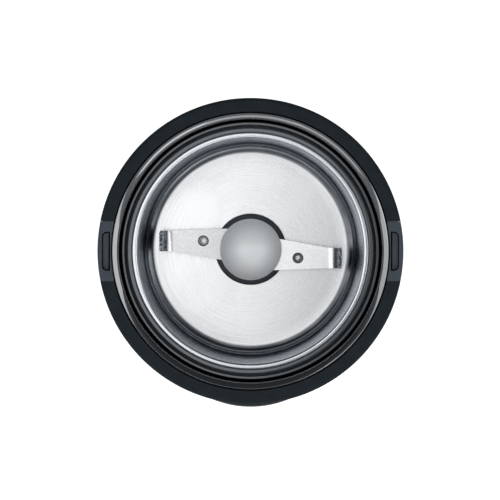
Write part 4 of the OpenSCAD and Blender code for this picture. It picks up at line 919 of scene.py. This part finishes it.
class GRINDER_OT_housing(bpy.types.Operator):
    """Build the tapered housing with its button frame, cord pad, ribs, bosses and shelves"""
    bl_idname = "grinder.housing"
    bl_label = "Build Housing"
    bl_options = {"REGISTER", "UNDO"}

    def execute(self, context):
        corner = BASE_R - EDGE_R
        lip = 0.3 * MM
        points = [(OPENING_R, SHELL_LOW + lip)] + arc(OPENING_R + lip, SHELL_LOW + lip, lip, 180,
                                                      270, 3)[1:]
        points += arc(corner, SHELL_LOW + EDGE_R, EDGE_R, -90, 0, 20)
        points += [(BASE_R, STRAIGHT_Z), (shell_r(SHELL_HIGH - 1.0 * MM), SHELL_HIGH - 1.0 * MM)]
        points += arc(SHELL_TOP_R - lip, SHELL_HIGH - lip, lip, 0, 90, 3)
        # the groove of the collar's snap hooks
        inner = SHELL_TOP_R - WALL
        groove = SHELL_HIGH - 9.0 * MM
        points += [(inner, SHELL_HIGH), (inner, groove + 2.6 * MM),
                   (inner + 0.9 * MM, groove + 2.6 * MM)]
        points += [(inner + 0.9 * MM, groove), (inner, groove)]
        points += [(BASE_R - WALL, STRAIGHT_Z)]
        points += arc(corner, SHELL_LOW + EDGE_R, EDGE_R - WALL, 0, -90, 12)
        points += [(OPENING_R, SHELL_LOW + WALL), (OPENING_R, SHELL_LOW + lip)]
        housing = turn("housing_shell", points)
        combine(housing, [button_bar("window", BUTTON_GAP + 1.2 * MM)])
        combine(housing, [button_frame()], "UNION")
        # pad and hole of the cord's gland
        pad = bar("pad", rounded(16.2 * MM, 16.2 * MM, 3.0 * MM), BASE_R - 1.9 * MM,
                  BASE_R + 0.6 * MM)
        lay(pad, (-90.0, 0.0, 0.0), (0.0, 0.0, GLAND_Z))
        soften(pad, 0.25 * MM, 3, 50.0)
        combine(housing, [pad], "UNION")
        hole = bar("hole", rounded(11.2 * MM, 11.2 * MM, 1.5 * MM), BASE_R - 5.0 * MM,
                   BASE_R + 5.0 * MM)
        combine(housing, [lay(hole, (-90.0, 0.0, 0.0), (0.0, 0.0, GLAND_Z))])
        extra = []
        for degrees in RIB_ANGLES:
            rib = block("rib", (48.9 * MM, -RIB_HALF, SHELL_HIGH - 22.0 * MM),
                        (52.6 * MM, RIB_HALF, SHELL_HIGH - 2.0 * MM),
                        0.2 * MM, 1)
            extra.append(swing(rib, degrees))
        for degrees in DIAGONALS:
            tall = 5.5 * MM
            boss = turn("boss", [
                (POLE, PLATE_TOP + tall - BOSS_SKIN), (PILOT_R, PLATE_TOP + tall - BOSS_SKIN),
                (PILOT_R, PLATE_TOP), (BOSS_R, PLATE_TOP), (BOSS_R, PLATE_TOP + tall),
                (POLE, PLATE_TOP + tall)], 48)
            shift(boss, BOSS_RING, 0.0, 0.0)
            web = block("web", (45.4 * MM, -RIB_HALF, PLATE_TOP + 0.05 * MM),
                        (BASE_R - 1.0 * MM, RIB_HALF, PLATE_TOP + tall - 0.05 * MM))
            combine(boss, [web], "UNION")
            extra.append(swing(boss, degrees))
        extra += [shelf(degrees) for degrees in (0.0, 180.0, 270.0)]
        for _, degrees in SIDES:
            pin = turn("pin", [
                (POLE, SHELF_Z + 1.0 * MM), (1.2 * MM, SHELF_Z + 1.0 * MM),
                (1.2 * MM, SHELF_Z + 4.8 * MM),
                (1.0 * MM, SHELF_Z + 5.0 * MM), (POLE, SHELF_Z + 5.0 * MM)], 32)
            shift(pin, SPRING_X, 0.0, 0.0)
            extra.append(swing(pin, degrees))
        combine(housing, extra, "UNION")
        settle(housing)
        dress(housing, "Housing Plastic", "base", "housing")
        return {"FINISHED"}


# ---------------------------------------------------------------- pieces of the housing

COLLAR_IN = COLLAR_HIGH.x - 4.9 * MM
INSERT_HALF = 10.6 * MM
INSERT_Z = TOP_Z - 12.0 * MM
POCKET_LOW_R = COLLAR_IN + 0.3 * MM
POCKET_DEPTH = 2.95 * MM
ROD_LOW, ROD_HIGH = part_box("interlock_rod_right")
ROD_R = 49.2 * MM
ROD_T = 1.9 * MM
ROD_HALF = 3.0 * MM
HOOK_ANGLES = (-30.0, 210.0, 30.0, 150.0, 75.0, 105.0)
HOOK_OUT = SHELL_TOP_R - WALL - 0.2 * MM
HOOK_HALF = 4.0 * MM
POCKET_HALF = 6.9 * MM
POCKET_CORNER = 1.8 * MM
PUSHER_HALF = 6.55 * MM
PUSHER_CORNER = 1.5 * MM
ROD_AIR = 0.35 * MM
FLANGE_R = COLLAR_HIGH.x - 2.6 * MM
FLANGE_Z = COLLAR_HIGH.z - 18.0 * MM
KEY_WIDE = 6.0 * MM
KEY_HIGH = 9.0 * MM
KEY_DEEP = 2.2 * MM
POST_R = 4.0 * MM
POST_LOW = 86.5 * MM
MOUNT_RING = 40.08 * MM
MOUNT_HOLE_R = PILOT_R


def collar_profile(grow=0.0):
    """The collar's section, its top outer edge a true round, grown outwards by an amount."""
    data = sizes()
    outer = data.collar_radius + grow
    inner = outer - grow - data.collar_width
    low = COLLAR_HIGH.z - 16.0 * MM
    lip = 0.25 * MM
    points = [(inner, low), (outer - lip, low)]
    points += arc(outer - lip, low + lip, lip, -90, 0, 3)
    points += arc(outer - data.collar_round, TOP_Z + grow - data.collar_round, data.collar_round,
                  0, 90, 10)
    points += [(inner + 3.0 * MM, TOP_Z + grow), (inner + 1.0 * MM, TOP_Z + grow)]
    points += arc(inner + 0.25 * MM, TOP_Z + grow - 0.25 * MM, 0.25 * MM, 90, 180, 5)
    points += [(inner, TOP_Z - 4.0 * MM), (inner, low)]
    return points


def insert_box(name, margin, extra=2.0 * MM):
    """The room of an insert in the collar on the +X side, less a margin."""
    return block(
        name, (COLLAR_IN - 1.0 * MM, -INSERT_HALF + margin, INSERT_Z + margin),
        (COLLAR_HIGH.x + 2.0 * MM, INSERT_HALF - margin, TOP_Z + extra))


def tongue(name, inner, outer, half, corner, low, high):
    """A bar along Z with a straight inner side and two round outer corners."""
    outline = [(inner, -half), (outer - corner, -half)]
    outline += arc(outer - corner, -half + corner, corner, -90, 0, 8)[1:]
    outline += arc(outer - corner, half - corner, corner, 0, 90, 8) + [(inner, half)]
    return bar(name, outline, low, high)


def rod_slot(degrees, low, high):
    """The room of an interlock rod at one side, from one level to another."""
    slot = block("slot", (ROD_R - ROD_AIR, -ROD_HALF - ROD_AIR, low),
                 (ROD_R + ROD_T + ROD_AIR, ROD_HALF + ROD_AIR, high))
    return swing(slot, degrees)


def snap_hook(degrees):
    """A hook that hangs from the collar and snaps into the housing's groove."""
    low = SHELL_HIGH - 8.8 * MM
    section = [
        (HOOK_OUT - 1.2 * MM, low), (HOOK_OUT, low), (HOOK_OUT + 0.6 * MM, low + 1.2 * MM),
        (HOOK_OUT + 0.6 * MM, low + 1.8 * MM), (HOOK_OUT, low + 1.8 * MM),
        (HOOK_OUT, SHELL_HIGH + 0.2 * MM),
        (HOOK_OUT - 1.2 * MM, SHELL_HIGH + 0.2 * MM)]
    hook = bar("hook", section, -HOOK_HALF, HOOK_HALF)
    lay(hook, (90.0, 0.0, 0.0))
    return swing(hook, degrees)


class GRINDER_OT_collar(bpy.types.Operator):
    """Build the grained collar ring with its snap hooks and the room of its two inserts"""
    bl_idname = "grinder.collar"
    bl_label = "Build Collar"
    bl_options = {"REGISTER", "UNDO"}

    def execute(self, context):
        collar = turn("collar_ring", collar_profile())
        cuts = [swing(insert_box("insert_cut", 0.0), degrees) for _, degrees in SIDES]
        low, high = SHELL_HIGH - 1.0 * MM, INSERT_Z + 1.0 * MM
        cuts += [rod_slot(degrees, low, high) for _, degrees in SIDES]
        combine(collar, cuts)
        soften(collar, 0.15 * MM, 2, 50.0)
        combine(collar, [snap_hook(degrees) for degrees in HOOK_ANGLES], "UNION")
        settle(collar)
        dress(collar, "Collar Plastic", "base", "collar")
        return {"FINISHED"}


class GRINDER_OT_inserts(bpy.types.Operator):
    """Build the two satin inserts with the pockets of the interlock pushers"""
    bl_idname = "grinder.inserts"
    bl_label = "Build Inserts"
    bl_options = {"REGISTER", "UNDO"}

    def execute(self, context):
        for side, degrees in SIDES:
            ring = turn("lock_insert_" + side + "_face", collar_profile(-0.03 * MM), 384)
            room = insert_box("room", 0.06 * MM, 4.0 * MM)
            combine(ring, [room], "INTERSECT")
            pocket = tongue(
                "pocket", POCKET_LOW_R, POCKET_LOW_R + POCKET_DEPTH, POCKET_HALF, POCKET_CORNER,
                INSERT_Z - 1.0 * MM, TOP_Z + 2.0 * MM)
            combine(ring, [pocket])
            soften(ring, 0.12 * MM, 2, 50.0)
            swing(ring, degrees)
            settle(ring)
            dress(ring, "Insert Plastic", "base", "lock_insert_" + side)
        return {"FINISHED"}


class GRINDER_OT_rods(bpy.types.Operator):
    """Build the two interlock rods: pusher, neck, rod and foot"""
    bl_idname = "grinder.rods"
    bl_label = "Build Interlock Rods"
    bl_options = {"REGISTER", "UNDO"}

    def execute(self, context):
        pusher_z = INSERT_Z + 4.1 * MM
        neck_z = INSERT_Z - 0.5 * MM
        neck_r = ROD_HIGH.x - 2.2 * MM
        for side, degrees in SIDES:
            rod = tongue(
                "interlock_rod_" + side + "_bar", neck_r, ROD_HIGH.x, PUSHER_HALF, PUSHER_CORNER,
                pusher_z, ROD_HIGH.z)
            soften(rod, 0.25 * MM, 3, 50.0)
            parts = [
                block("neck", (neck_r + 0.02 * MM, -ROD_HALF, neck_z - 0.2 * MM),
                      (ROD_R + ROD_T, ROD_HALF, pusher_z + 0.3 * MM)),
                block("rod", (ROD_R, -ROD_HALF + 0.01 * MM, ROD_LOW.z + 0.01 * MM),
                      (ROD_R + ROD_T - 0.01 * MM, ROD_HALF - 0.01 * MM, neck_z), 0.2 * MM, 2),
                block("foot", (ROD_LOW.x, -ROD_HALF, ROD_LOW.z),
                      (ROD_R + ROD_T - 0.3 * MM, ROD_HALF, ROD_LOW.z + 2.6 * MM),
                      0.2 * MM, 2)]
            combine(rod, parts, "UNION")
            swing(rod, degrees)
            settle(rod)
            dress(rod, "Rod Plastic", "lock_" + side, "interlock_rod_" + side)
        return {"FINISHED"}


class GRINDER_OT_springs(bpy.types.Operator):
    """Wind the springs of the interlock rods and the start button"""
    bl_idname = "grinder.springs"
    bl_label = "Build Springs"
    bl_options = {"REGISTER", "UNDO"}

    def execute(self, context):
        wire = 0.35 * MM
        for side, degrees in SIDES:
            low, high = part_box("rod_spring_" + side)
            tall = high.z - low.z
            spring = coil("rod_spring_" + side + "_coil", 1.85 * MM, wire, tall, 6)
            lay(spring, (0.0, 0.0, degrees), ((low.x + high.x) / 2.0, 0.0, low.z))
            dress(spring, "Spring Steel", "base", "rod_spring_" + side)
            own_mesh(spring)
        low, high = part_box("button_spring")
        tall = high.y - low.y
        spring = coil("button_spring_coil", 1.85 * MM, wire, tall, 4)
        lay(spring, (90.0, 0.0, 0.0), (0.0, high.y, BUTTON_Z))
        dress(spring, "Spring Steel", "base", "button_spring")
        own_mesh(spring)
        return {"FINISHED"}


class GRINDER_OT_well(bpy.types.Operator):
    """Build the polished well with its flared mouth"""
    bl_idname = "grinder.well"
    bl_label = "Build Cup Well"
    bl_options = {"REGISTER", "UNDO"}

    def execute(self, context):
        wall_r = WELL_R + WELL_WALL
        points = [(16.0 * MM, WELL_FLOOR - 2.0 * MM), (wall_r - 2.0 * MM, WELL_FLOOR - 2.0 * MM)]
        points += arc(wall_r - 2.0 * MM, WELL_FLOOR, 2.0 * MM, -90, 0, 6)
        lip_z = TOP_Z - 0.5 * MM
        points += [(wall_r, TOP_Z - 4.0 * MM), (MOUTH_R, TOP_Z - 3.0 * MM)]
        points += arc(MOUTH_R - 0.2 * MM, TOP_Z - 0.7 * MM, 0.2 * MM, 0, 90, 4)
        # the lip is a shallow crown that drops into the wall
        points += arc(WELL_R + 2.99 * MM, lip_z - 4.057 * MM, 4.2 * MM, 105, 130, 12)
        points += arc(WELL_R + 0.8 * MM, lip_z - 1.453 * MM, 0.8 * MM, 130, 180, 6)[1:]
        points += [(WELL_R, WELL_FLOOR + 1.5 * MM)]
        points += arc(WELL_R - 1.5 * MM, WELL_FLOOR + 1.5 * MM, 1.5 * MM, 0, -90, 6)
        points += [(16.0 * MM, WELL_FLOOR), (16.0 * MM, WELL_FLOOR - 2.0 * MM)]
        well = turn("cup_well_shell", points)
        extra = [turn("flange", [
            (wall_r - 0.5 * MM, FLANGE_Z), (FLANGE_R, FLANGE_Z), (FLANGE_R, FLANGE_Z + 2.0 * MM),
            (wall_r - 0.5 * MM, FLANGE_Z + 2.0 * MM), (wall_r - 0.5 * MM, FLANGE_Z)])]
        for degrees in DIAGONALS:
            key = block(
                "key", (WELL_R - KEY_DEEP, -KEY_WIDE / 2.0, WELL_FLOOR - 0.5 * MM),
                (WELL_R + 0.5 * MM, KEY_WIDE / 2.0, WELL_FLOOR + KEY_HIGH), 0.6 * MM, 3)
            swing(key, degrees)
            post = turn("post", [
                (MOUNT_HOLE_R, POST_LOW), (POST_R, POST_LOW), (POST_R, WELL_FLOOR - 1.0 * MM),
                (MOUNT_HOLE_R, WELL_FLOOR - 1.0 * MM), (MOUNT_HOLE_R, POST_LOW)], 48)
            side = math.radians(degrees)
            shift(post, MOUNT_RING * math.cos(side), MOUNT_RING * math.sin(side), 0.0)
            extra += [key, post]
        combine(well, extra, "UNION")
        # slots in the flange for the rods and the collar's hooks
        low, high = FLANGE_Z - 1.0 * MM, FLANGE_Z + 3.0 * MM
        slots = [rod_slot(degrees, low, high) for _, degrees in SIDES]
        for degrees in HOOK_ANGLES:
            slot = block("slot", (HOOK_OUT - 1.4 * MM, -HOOK_HALF - 0.2 * MM, low),
                         (HOOK_OUT + 2.0 * MM, HOOK_HALF + 0.2 * MM, high))
            slots.append(swing(slot, degrees))
        combine(well, slots)
        dress(well, "Well Gloss", "base", "cup_well")
        return {"FINISHED"}


# ---------------------------------------------------------------- pieces of the cup

class GRINDER_OT_sleeve(bpy.types.Operator):
    """Build the cup's plastic sleeve: two top lands with an open groove, and the wall below"""
    bl_idname = "grinder.sleeve"
    bl_label = "Build Cup Sleeve"
    bl_options = {"REGISTER", "UNDO"}

    def execute(self, context):
        inner = RIM_R + 0.18 * MM
        ridge_top = RIM_Z - 2.4 * MM
        ridge_in = RIDGE_R - 1.05 * MM
        land_top = RIM_Z + 0.3 * MM
        foot = SLEEVE_LOW.z
        points = [(14.0 * MM, foot), (SLEEVE_R - 1.0 * MM, foot)]
        points += arc(SLEEVE_R - 1.0 * MM, foot + 1.0 * MM, 1.0 * MM, -90, 0, 5)
        points += [(SLEEVE_R, ridge_top - 2.0 * MM), (RIDGE_R, ridge_top - 1.4 * MM)]
        points += arc(RIDGE_R - 0.3 * MM, ridge_top - 0.3 * MM, 0.3 * MM, 0, 90, 4)
        points += arc(ridge_in + 0.2 * MM, ridge_top - 0.2 * MM, 0.2 * MM, 90, 180, 3)
        points += [(ridge_in, RIM_Z - 2.9 * MM), ((ridge_in + LAND_R) / 2.0, RIM_Z - 3.4 * MM)]
        points += [(LAND_R, RIM_Z - 2.9 * MM)]
        points += arc(LAND_R - 0.45 * MM, land_top - 0.45 * MM, 0.45 * MM, 0, 90, 6)
        points += arc(inner + 0.2 * MM, land_top - 0.2 * MM, 0.2 * MM, 90, 180, 3)
        points += [(inner, RIM_Z - 0.85 * MM), (BOWL_R + 0.95 * MM, RIM_Z - 0.85 * MM)]
        points += [(BOWL_R + 0.95 * MM, RIM_Z - 6.0 * MM), (SLEEVE_R - 2.0 * MM, RIM_Z - 9.0 * MM)]
        points += [(SLEEVE_R - 2.0 * MM, foot + 2.0 * MM), (14.0 * MM, foot + 2.0 * MM),
                   (14.0 * MM, foot)]
        sleeve = turn("cup_sleeve_shell", points)
        # notches over the well's keys
        cuts = []
        for i in range(4):
            cut = block(
                "notch", (WELL_R - 2.8 * MM, -3.5 * MM, foot - 1.0 * MM),
                (WELL_R + 2.0 * MM, 3.5 * MM, foot + 9.5 * MM), 0.8 * MM)
            swing(cut, 45.0 + 90.0 * i)
            cuts.append(cut)
        combine(sleeve, cuts)
        soften(sleeve, 0.15 * MM, 2, 50.0)
        settle(sleeve)
        dress(sleeve, "Sleeve Satin", "cup", "cup_sleeve")
        return {"FINISHED"}


class GRINDER_OT_bowl(bpy.types.Operator):
    """Build the pressed steel bowl with its rolled lip"""
    bl_idname = "grinder.bowl"
    bl_label = "Build Steel Bowl"
    bl_options = {"REGISTER", "UNDO"}

    def execute(self, context):
        sheet = 0.8 * MM
        fillet = 3.4 * MM
        base_r = BOWL_R - 0.3 * MM
        floor = BOWL_LOW.z + sheet
        points = [(HOLE_R, floor), (20.0 * MM, floor), (base_r - fillet - 4.0 * MM, floor)]
        points += arc(base_r - fillet, floor + fillet, fillet, -90, 0, 14)
        points += [(BOWL_R - 0.1 * MM, RIM_Z - 14.0 * MM), (BOWL_R, RIM_Z - 1.0 * MM)]
        points += arc(BOWL_R + 0.8 * MM, RIM_Z - 0.8 * MM, 0.8 * MM, 180, 90, 8)
        points += arc(RIM_R - 0.43 * MM, RIM_Z - 0.35 * MM, 0.35 * MM, 90, -90, 8)
        points += [(BOWL_R + sheet, RIM_Z - sheet), (BOWL_R + sheet, RIM_Z - 2.5 * MM)]
        points += [(BOWL_R + sheet - 0.1 * MM, RIM_Z - 14.0 * MM)]
        points += arc(base_r - fillet, floor + fillet, fillet + sheet, 0, -90, 14)
        points += [(HOLE_R, floor - sheet), (HOLE_R, floor)]
        bowl = turn("steel_bowl_sheet", points)
        dress(bowl, "Bowl Steel", "cup", "steel_bowl")
        return {"FINISHED"}


class GRINDER_OT_seal(bpy.types.Operator):
    """Build the seal that stands round the spindle on the bowl's bottom"""
    bl_idname = "grinder.seal"
    bl_label = "Build Hub Seal"
    bl_options = {"REGISTER", "UNDO"}

    def execute(self, context):
        low, top, wide = SEAL_LOW.z, SEAL_HIGH.z, SEAL_HIGH.x
        points = [(8.0 * MM, low), (wide - 0.2 * MM, low)]
        points += arc(wide - 0.2 * MM, low + 0.2 * MM, 0.2 * MM, -90, 0, 3)
        points += arc(wide - 0.8 * MM, top - 0.8 * MM, 0.8 * MM, 0, 90, 8)
        points += [(9.6 * MM, top), (9.4 * MM, top - 0.2 * MM), (9.2 * MM, top), (3.6 * MM, top)]
        points += [(3.4 * MM, top - 0.2 * MM), (3.4 * MM, top - 0.8 * MM),
                   (8.0 * MM, top - 0.8 * MM)]
        points += [(8.0 * MM, low)]
        seal = turn("hub_seal_ring", points)
        dress(seal, "Seal Plastic", "cup", "hub_seal")
        return {"FINISHED"}


class GRINDER_OT_cap(bpy.types.Operator):
    """Build the milky domed cap over the blade's nut"""
    bl_idname = "grinder.cap"
    bl_label = "Build Hub Cap"
    bl_options = {"REGISTER", "UNDO"}

    def execute(self, context):
        wide, low, high = CAP_HIGH.x, CAP_LOW.z, CAP_HIGH.z
        dome = high - low - 2.0 * MM
        ball = (wide * wide + dome * dome) / (2.0 * dome)
        half = math.degrees(math.asin((wide - 0.3 * MM) / ball))
        points = [(POLE, low + 5.2 * MM), (wide - 2.4 * MM, low + 5.2 * MM),
                  (wide - 1.8 * MM, low + 4.4 * MM)]
        points += [(wide - 1.8 * MM, low), (wide - 0.3 * MM, low), (wide, low + 0.3 * MM)]
        points += [(wide, low + 1.7 * MM)]
        points += arc(0.0, high - ball, ball, 90.0 - half, 90.0, 24)[:-1]
        points += [(POLE, high)]
        cap = turn("hub_cap_dome", points, 96)
        dress(cap, "Cap Plastic", "cutter", "hub_cap")
        return {"FINISHED"}


# ---------------------------------------------------------------- blade and button

BLADE_T = 1.2 * MM
BEND_X = 29.3 * MM
SWEEP = 3.2 * MM
TIP_ANGLE = 70.0
WING_LIFT = 2.0
SPINDLE_R = 3.05 * MM


def blade_wing(name):
    """One wing on the +X side: a strip with its tip bent up, cut to its taper."""
    low = BLADE_LOW.z
    outer = 4.5 * MM
    start = BEND_X - 0.3 * MM
    lean = math.radians(TIP_ANGLE)
    length = 2.6 * MM
    tip = (start + outer * math.sin(lean) + length * math.cos(lean),
           outer * (1.0 - math.cos(lean)) + length * math.sin(lean))
    # the strip seen from the front, its bend a true arc
    section = [(8.4 * MM, 0.0)] + arc(start, outer, outer, -90, TIP_ANGLE - 90, 20)
    section += [tip, (tip[0] - BLADE_T * math.sin(lean), tip[1] + BLADE_T * math.cos(lean))]
    section += arc(start, outer, outer - BLADE_T, TIP_ANGLE - 90, -90, 20) + [(8.4 * MM, BLADE_T)]
    wing = bar(name, section, -12.0 * MM, 12.0 * MM)
    lay(wing, (90.0, 0.0, 0.0), (0.0, 0.0, low))
    # its outline from above, with clipped corners
    end = tip[0] / MM
    outline = bar("outline", mm([
        (7.0, -7.83), (29.6, -7.0), (end - 0.3, -7.0), (end + 0.05, -6.2), (end + 0.05, -0.2),
        (end - 0.3, 0.6),
        (29.3, 0.6), (7.0, 4.6)]), low - 2.0 * MM, low + 12.0 * MM)
    combine(wing, [outline], "INTERSECT")
    cuts = []
    clear_selection()
    bpy.ops.mesh.primitive_cylinder_add(
        vertices=48, radius=0.9 * MM, depth=6 * MM, location=(17.7 * MM, -SWEEP, low))
    cuts.append(bpy.context.object)
    bpy.ops.mesh.primitive_cone_add(
        vertices=48, radius1=0.88 * MM, radius2=2.05 * MM, depth=1.1 * MM,
        location=(17.7 * MM, -SWEEP, low + BLADE_T - 0.50 * MM))
    cuts.append(bpy.context.object)
    combine(wing, cuts)
    # raised about the edge of the hub
    lift = math.radians(WING_LIFT)
    root = 10.0 * MM
    return lay(wing, (0.0, -WING_LIFT, 0.0), (
        root - root * math.cos(lift) + low * math.sin(lift), 0.0,
        low - root * math.sin(lift) - low * math.cos(lift)))


class GRINDER_OT_blade(bpy.types.Operator):
    """Build the two-winged blade with its turned up tips"""
    bl_idname = "grinder.blade"
    bl_label = "Build Blade"
    bl_options = {"REGISTER", "UNDO"}

    def execute(self, context):
        low = BLADE_LOW.z
        hub = CAP_HIGH.x - 1.0 * MM
        blade = turn("blade_pressing", [
            (SPINDLE_R, low + 0.2 * MM), (hub, low + 0.2 * MM), (hub, low + BLADE_T - 0.25 * MM),
            (SPINDLE_R, low + BLADE_T - 0.25 * MM), (SPINDLE_R, low + 0.2 * MM)], 90)
        wings = [blade_wing("wing_one"), blade_wing("wing_two")]
        swing(wings[1], 180.0)
        combine(blade, wings, "UNION")
        soften(blade, 0.12 * MM, 2, 35.0)
        settle(blade)
        dress(blade, "Blade Steel", "cutter", "blade")
        return {"FINISHED"}


class GRINDER_OT_button(bpy.types.Operator):
    """Build the crowned start button with its lips and the leg to its switch"""
    bl_idname = "grinder.button"
    bl_label = "Build Start Button"
    bl_options = {"REGISTER", "UNDO"}

    def execute(self, context):
        crown = 0.9 * MM
        ball = (BUTTON_HALF * BUTTON_HALF + crown * crown) / (2.0 * crown)
        sweep = math.degrees(math.asin(BUTTON_HALF / ball))
        back = FACE_R - 3.9 * MM
        points = [(back, -BUTTON_HALF)] + arc(FACE_R - ball, 0.0, ball, -sweep, sweep, 24)
        points += [(back, BUTTON_HALF), (back, -BUTTON_HALF)]
        button = turn("start_button_face", points, 256)
        shift(button, 0.0, NOSE_Y, BUTTON_Z)
        combine(button, [button_bar("outline", 0.0)], "INTERSECT")
        soften(button, 0.7 * MM, 5, 50.0)
        tab = block("tab", (-4.5 * MM, BUTTON_LOW.y + 2.5 * MM, BUTTON_Z - BUTTON_HALF),
                    (4.5 * MM, LEG_Y + 1.2 * MM, BUTTON_Z - BUTTON_HALF + 1.6 * MM), 0.2 * MM, 2)
        leg = block("leg", (-4.5 * MM, LEG_Y, BUTTON_LOW.z),
                    (4.5 * MM, LEG_Y + 1.2 * MM, BUTTON_Z - BUTTON_HALF + 1.0 * MM),
                    0.2 * MM, 2)
        combine(button, [tab, leg], "UNION")
        settle(button)
        dress(button, "Button Gloss", "start", "start_button")
        return {"FINISHED"}


# ---------------------------------------------------------------- stage

def pale_floor():
    """Matt white paper that stays white to the eye and keeps the shadow."""
    tree, shader = new_material("Stage Paper")
    fibres = noise(tree, object_point(tree), 900.0, 3.0)
    rays = add(tree, "LightPath")
    glossy = math_node(tree, "MULTIPLY", rays.outputs["Is Glossy Ray"], 0.45)
    seen = math_node(
        tree, "MAXIMUM", rays.outputs["Is Camera Ray"], rays.outputs["Is Transmission Ray"])
    seen = math_node(tree, "MAXIMUM", seen, glossy)
    feed(tree, shader, Base_Color=mix_colour(tree, fibres, (0.86, 0.86, 0.86), (0.90, 0.90, 0.90)),
         Roughness=0.9, Specular_IOR_Level=0.1, Emission_Color=(1.0, 1.0, 1.0, 1.0),
         Emission_Strength=math_node(tree, "MULTIPLY", seen, 0.80))


def place_light(name, place, aim, size, power):
    """A softbox at a place, turned to its aim."""
    turn = (Vector(aim) - Vector(place)).to_track_quat("-Z", "Y").to_euler()
    bpy.ops.object.light_add(type="AREA", location=place, rotation=turn)
    lamp = bpy.context.object
    lamp.name = name
    lamp.data.name = name
    lamp.data.shape = "RECTANGLE"
    lamp.data.size = size[0]
    lamp.data.size_y = size[1]
    lamp.data.energy = power


# Name, place, size and share of the key's power of every softbox
SOFTBOXES = (
    ("Softbox Key", (-0.18, 0.05, 1.12), (0.66, 0.50), 1.02),
    ("Box Left", (-0.62, 0.0, 0.80), (0.44, 0.80), 1.15),
    ("Box Right", (0.64, 0.02, 0.80), (0.44, 0.74), 1.4),
    ("Box Front", (0.0, -0.80, 0.74), (0.60, 0.36), 0.5),
    ("Corner Right", (0.48, -0.64, 0.80), (0.50, 0.34), 0.85),
    ("Corner Left", (-0.48, -0.64, 0.80), (0.50, 0.34), 0.40),
)


class GRINDER_OT_stage(bpy.types.Operator):
    """Lay the paper floor and place the softboxes, the sky and the camera"""
    bl_idname = "grinder.stage"
    bl_label = "Build Stage"
    bl_options = {"REGISTER", "UNDO"}

    def execute(self, context):
        setup = context.scene.grinder_stage
        pale_floor()
        bpy.ops.mesh.primitive_plane_add(size=4.0, location=(0.0, 0.0, 0.0))
        floor = context.object
        floor.name = "paper_floor"
        set_finish(floor, "Stage Paper")
        top = (0.0, 0.0, TOP_Z)
        for name, place, size, share in SOFTBOXES:
            place_light(name, place, top, size, setup.key_power * share)
        world = bpy.data.worlds.new("Studio Sky")
        world.use_nodes = True
        sky = world.node_tree
        backdrop = sky.nodes["Background"]
        backdrop.inputs["Color"].default_value = (0.95, 0.97, 1.0, 1.0)
        # the room is darker behind the grinder than in front of it
        way = separate(sky, add(sky, "TexCoord").outputs["Generated"])
        room = remap(sky, way.outputs["Y"], -0.7, 0.6, 0.50, 0.07)
        eye = add(sky, "LightPath").outputs["Is Camera Ray"]
        link(sky, math_node(sky, "MAXIMUM", room, math_node(sky, "MULTIPLY", eye, 1.05)),
             backdrop.inputs["Strength"])
        context.scene.world = world
        aim = Vector((setup.aim_x, setup.aim_y, TOP_Z))
        turn = (-setup.camera_lean, -setup.camera_side, 0.0)
        back = Euler(turn).to_matrix() @ Vector((0.0, 0.0, setup.camera_height))
        bpy.ops.object.camera_add(location=aim + back, rotation=turn)
        camera = context.object
        camera.name = "Stage Camera"
        camera.data.sensor_width = 36.0
        camera.data.lens = camera.data.sensor_width * setup.camera_height / setup.frame_width
        camera.data.clip_start = 0.01
        context.scene.camera = camera
        context.scene.view_settings.view_transform = "Standard"
        return {"FINISHED"}


# ---------------------------------------------------------------- add-on

class GRINDER_PT_panel(bpy.types.Panel):
    """Grinder pieces, sizes, colours and stage"""
    bl_idname = "GRINDER_PT_panel"
    bl_label = "Spice Grinder"
    bl_space_type = "VIEW_3D"
    bl_region_type = "UI"
    bl_category = "Grinder"

    def draw(self, context):
        layout = self.layout
        scene = context.scene
        for title, group in (("Sizes", scene.grinder_sizes), ("Colours", scene.grinder_colours),
                             ("Stage", scene.grinder_stage)):
            box = layout.box()
            box.label(text=title)
            for name in group.bl_rna.properties.keys():
                if name not in ("name", "rna_type"):
                    box.prop(group, name)
        column = layout.column()
        for operator in OPERATORS:
            column.operator(operator.bl_idname)


OPERATORS = (
    GRINDER_OT_finishes,
    GRINDER_OT_housing,
    GRINDER_OT_collar,
    GRINDER_OT_inserts,
    GRINDER_OT_rods,
    GRINDER_OT_springs,
    GRINDER_OT_well,
    GRINDER_OT_sleeve,
    GRINDER_OT_bowl,
    GRINDER_OT_seal,
    GRINDER_OT_cap,
    GRINDER_OT_blade,
    GRINDER_OT_button,
    GRINDER_OT_stage,
)
CLASSES = (GrinderSizes, GrinderColours, GrinderStage) + OPERATORS + (GRINDER_PT_panel,)


def register():
    for cls in CLASSES:
        bpy.utils.register_class(cls)
    bpy.types.Scene.grinder_sizes = PointerProperty(type=GrinderSizes)
    bpy.types.Scene.grinder_colours = PointerProperty(type=GrinderColours)
    bpy.types.Scene.grinder_stage = PointerProperty(type=GrinderStage)


def unregister():
    del bpy.types.Scene.grinder_stage
    del bpy.types.Scene.grinder_colours
    del bpy.types.Scene.grinder_sizes
    for cls in reversed(CLASSES):
        bpy.utils.unregister_class(cls)


def main():
    register()
    for operator in OPERATORS:
        family, name = operator.bl_idname.split(".")
        getattr(getattr(bpy.ops, family), name)()


if __name__ == "__main__":
    main()
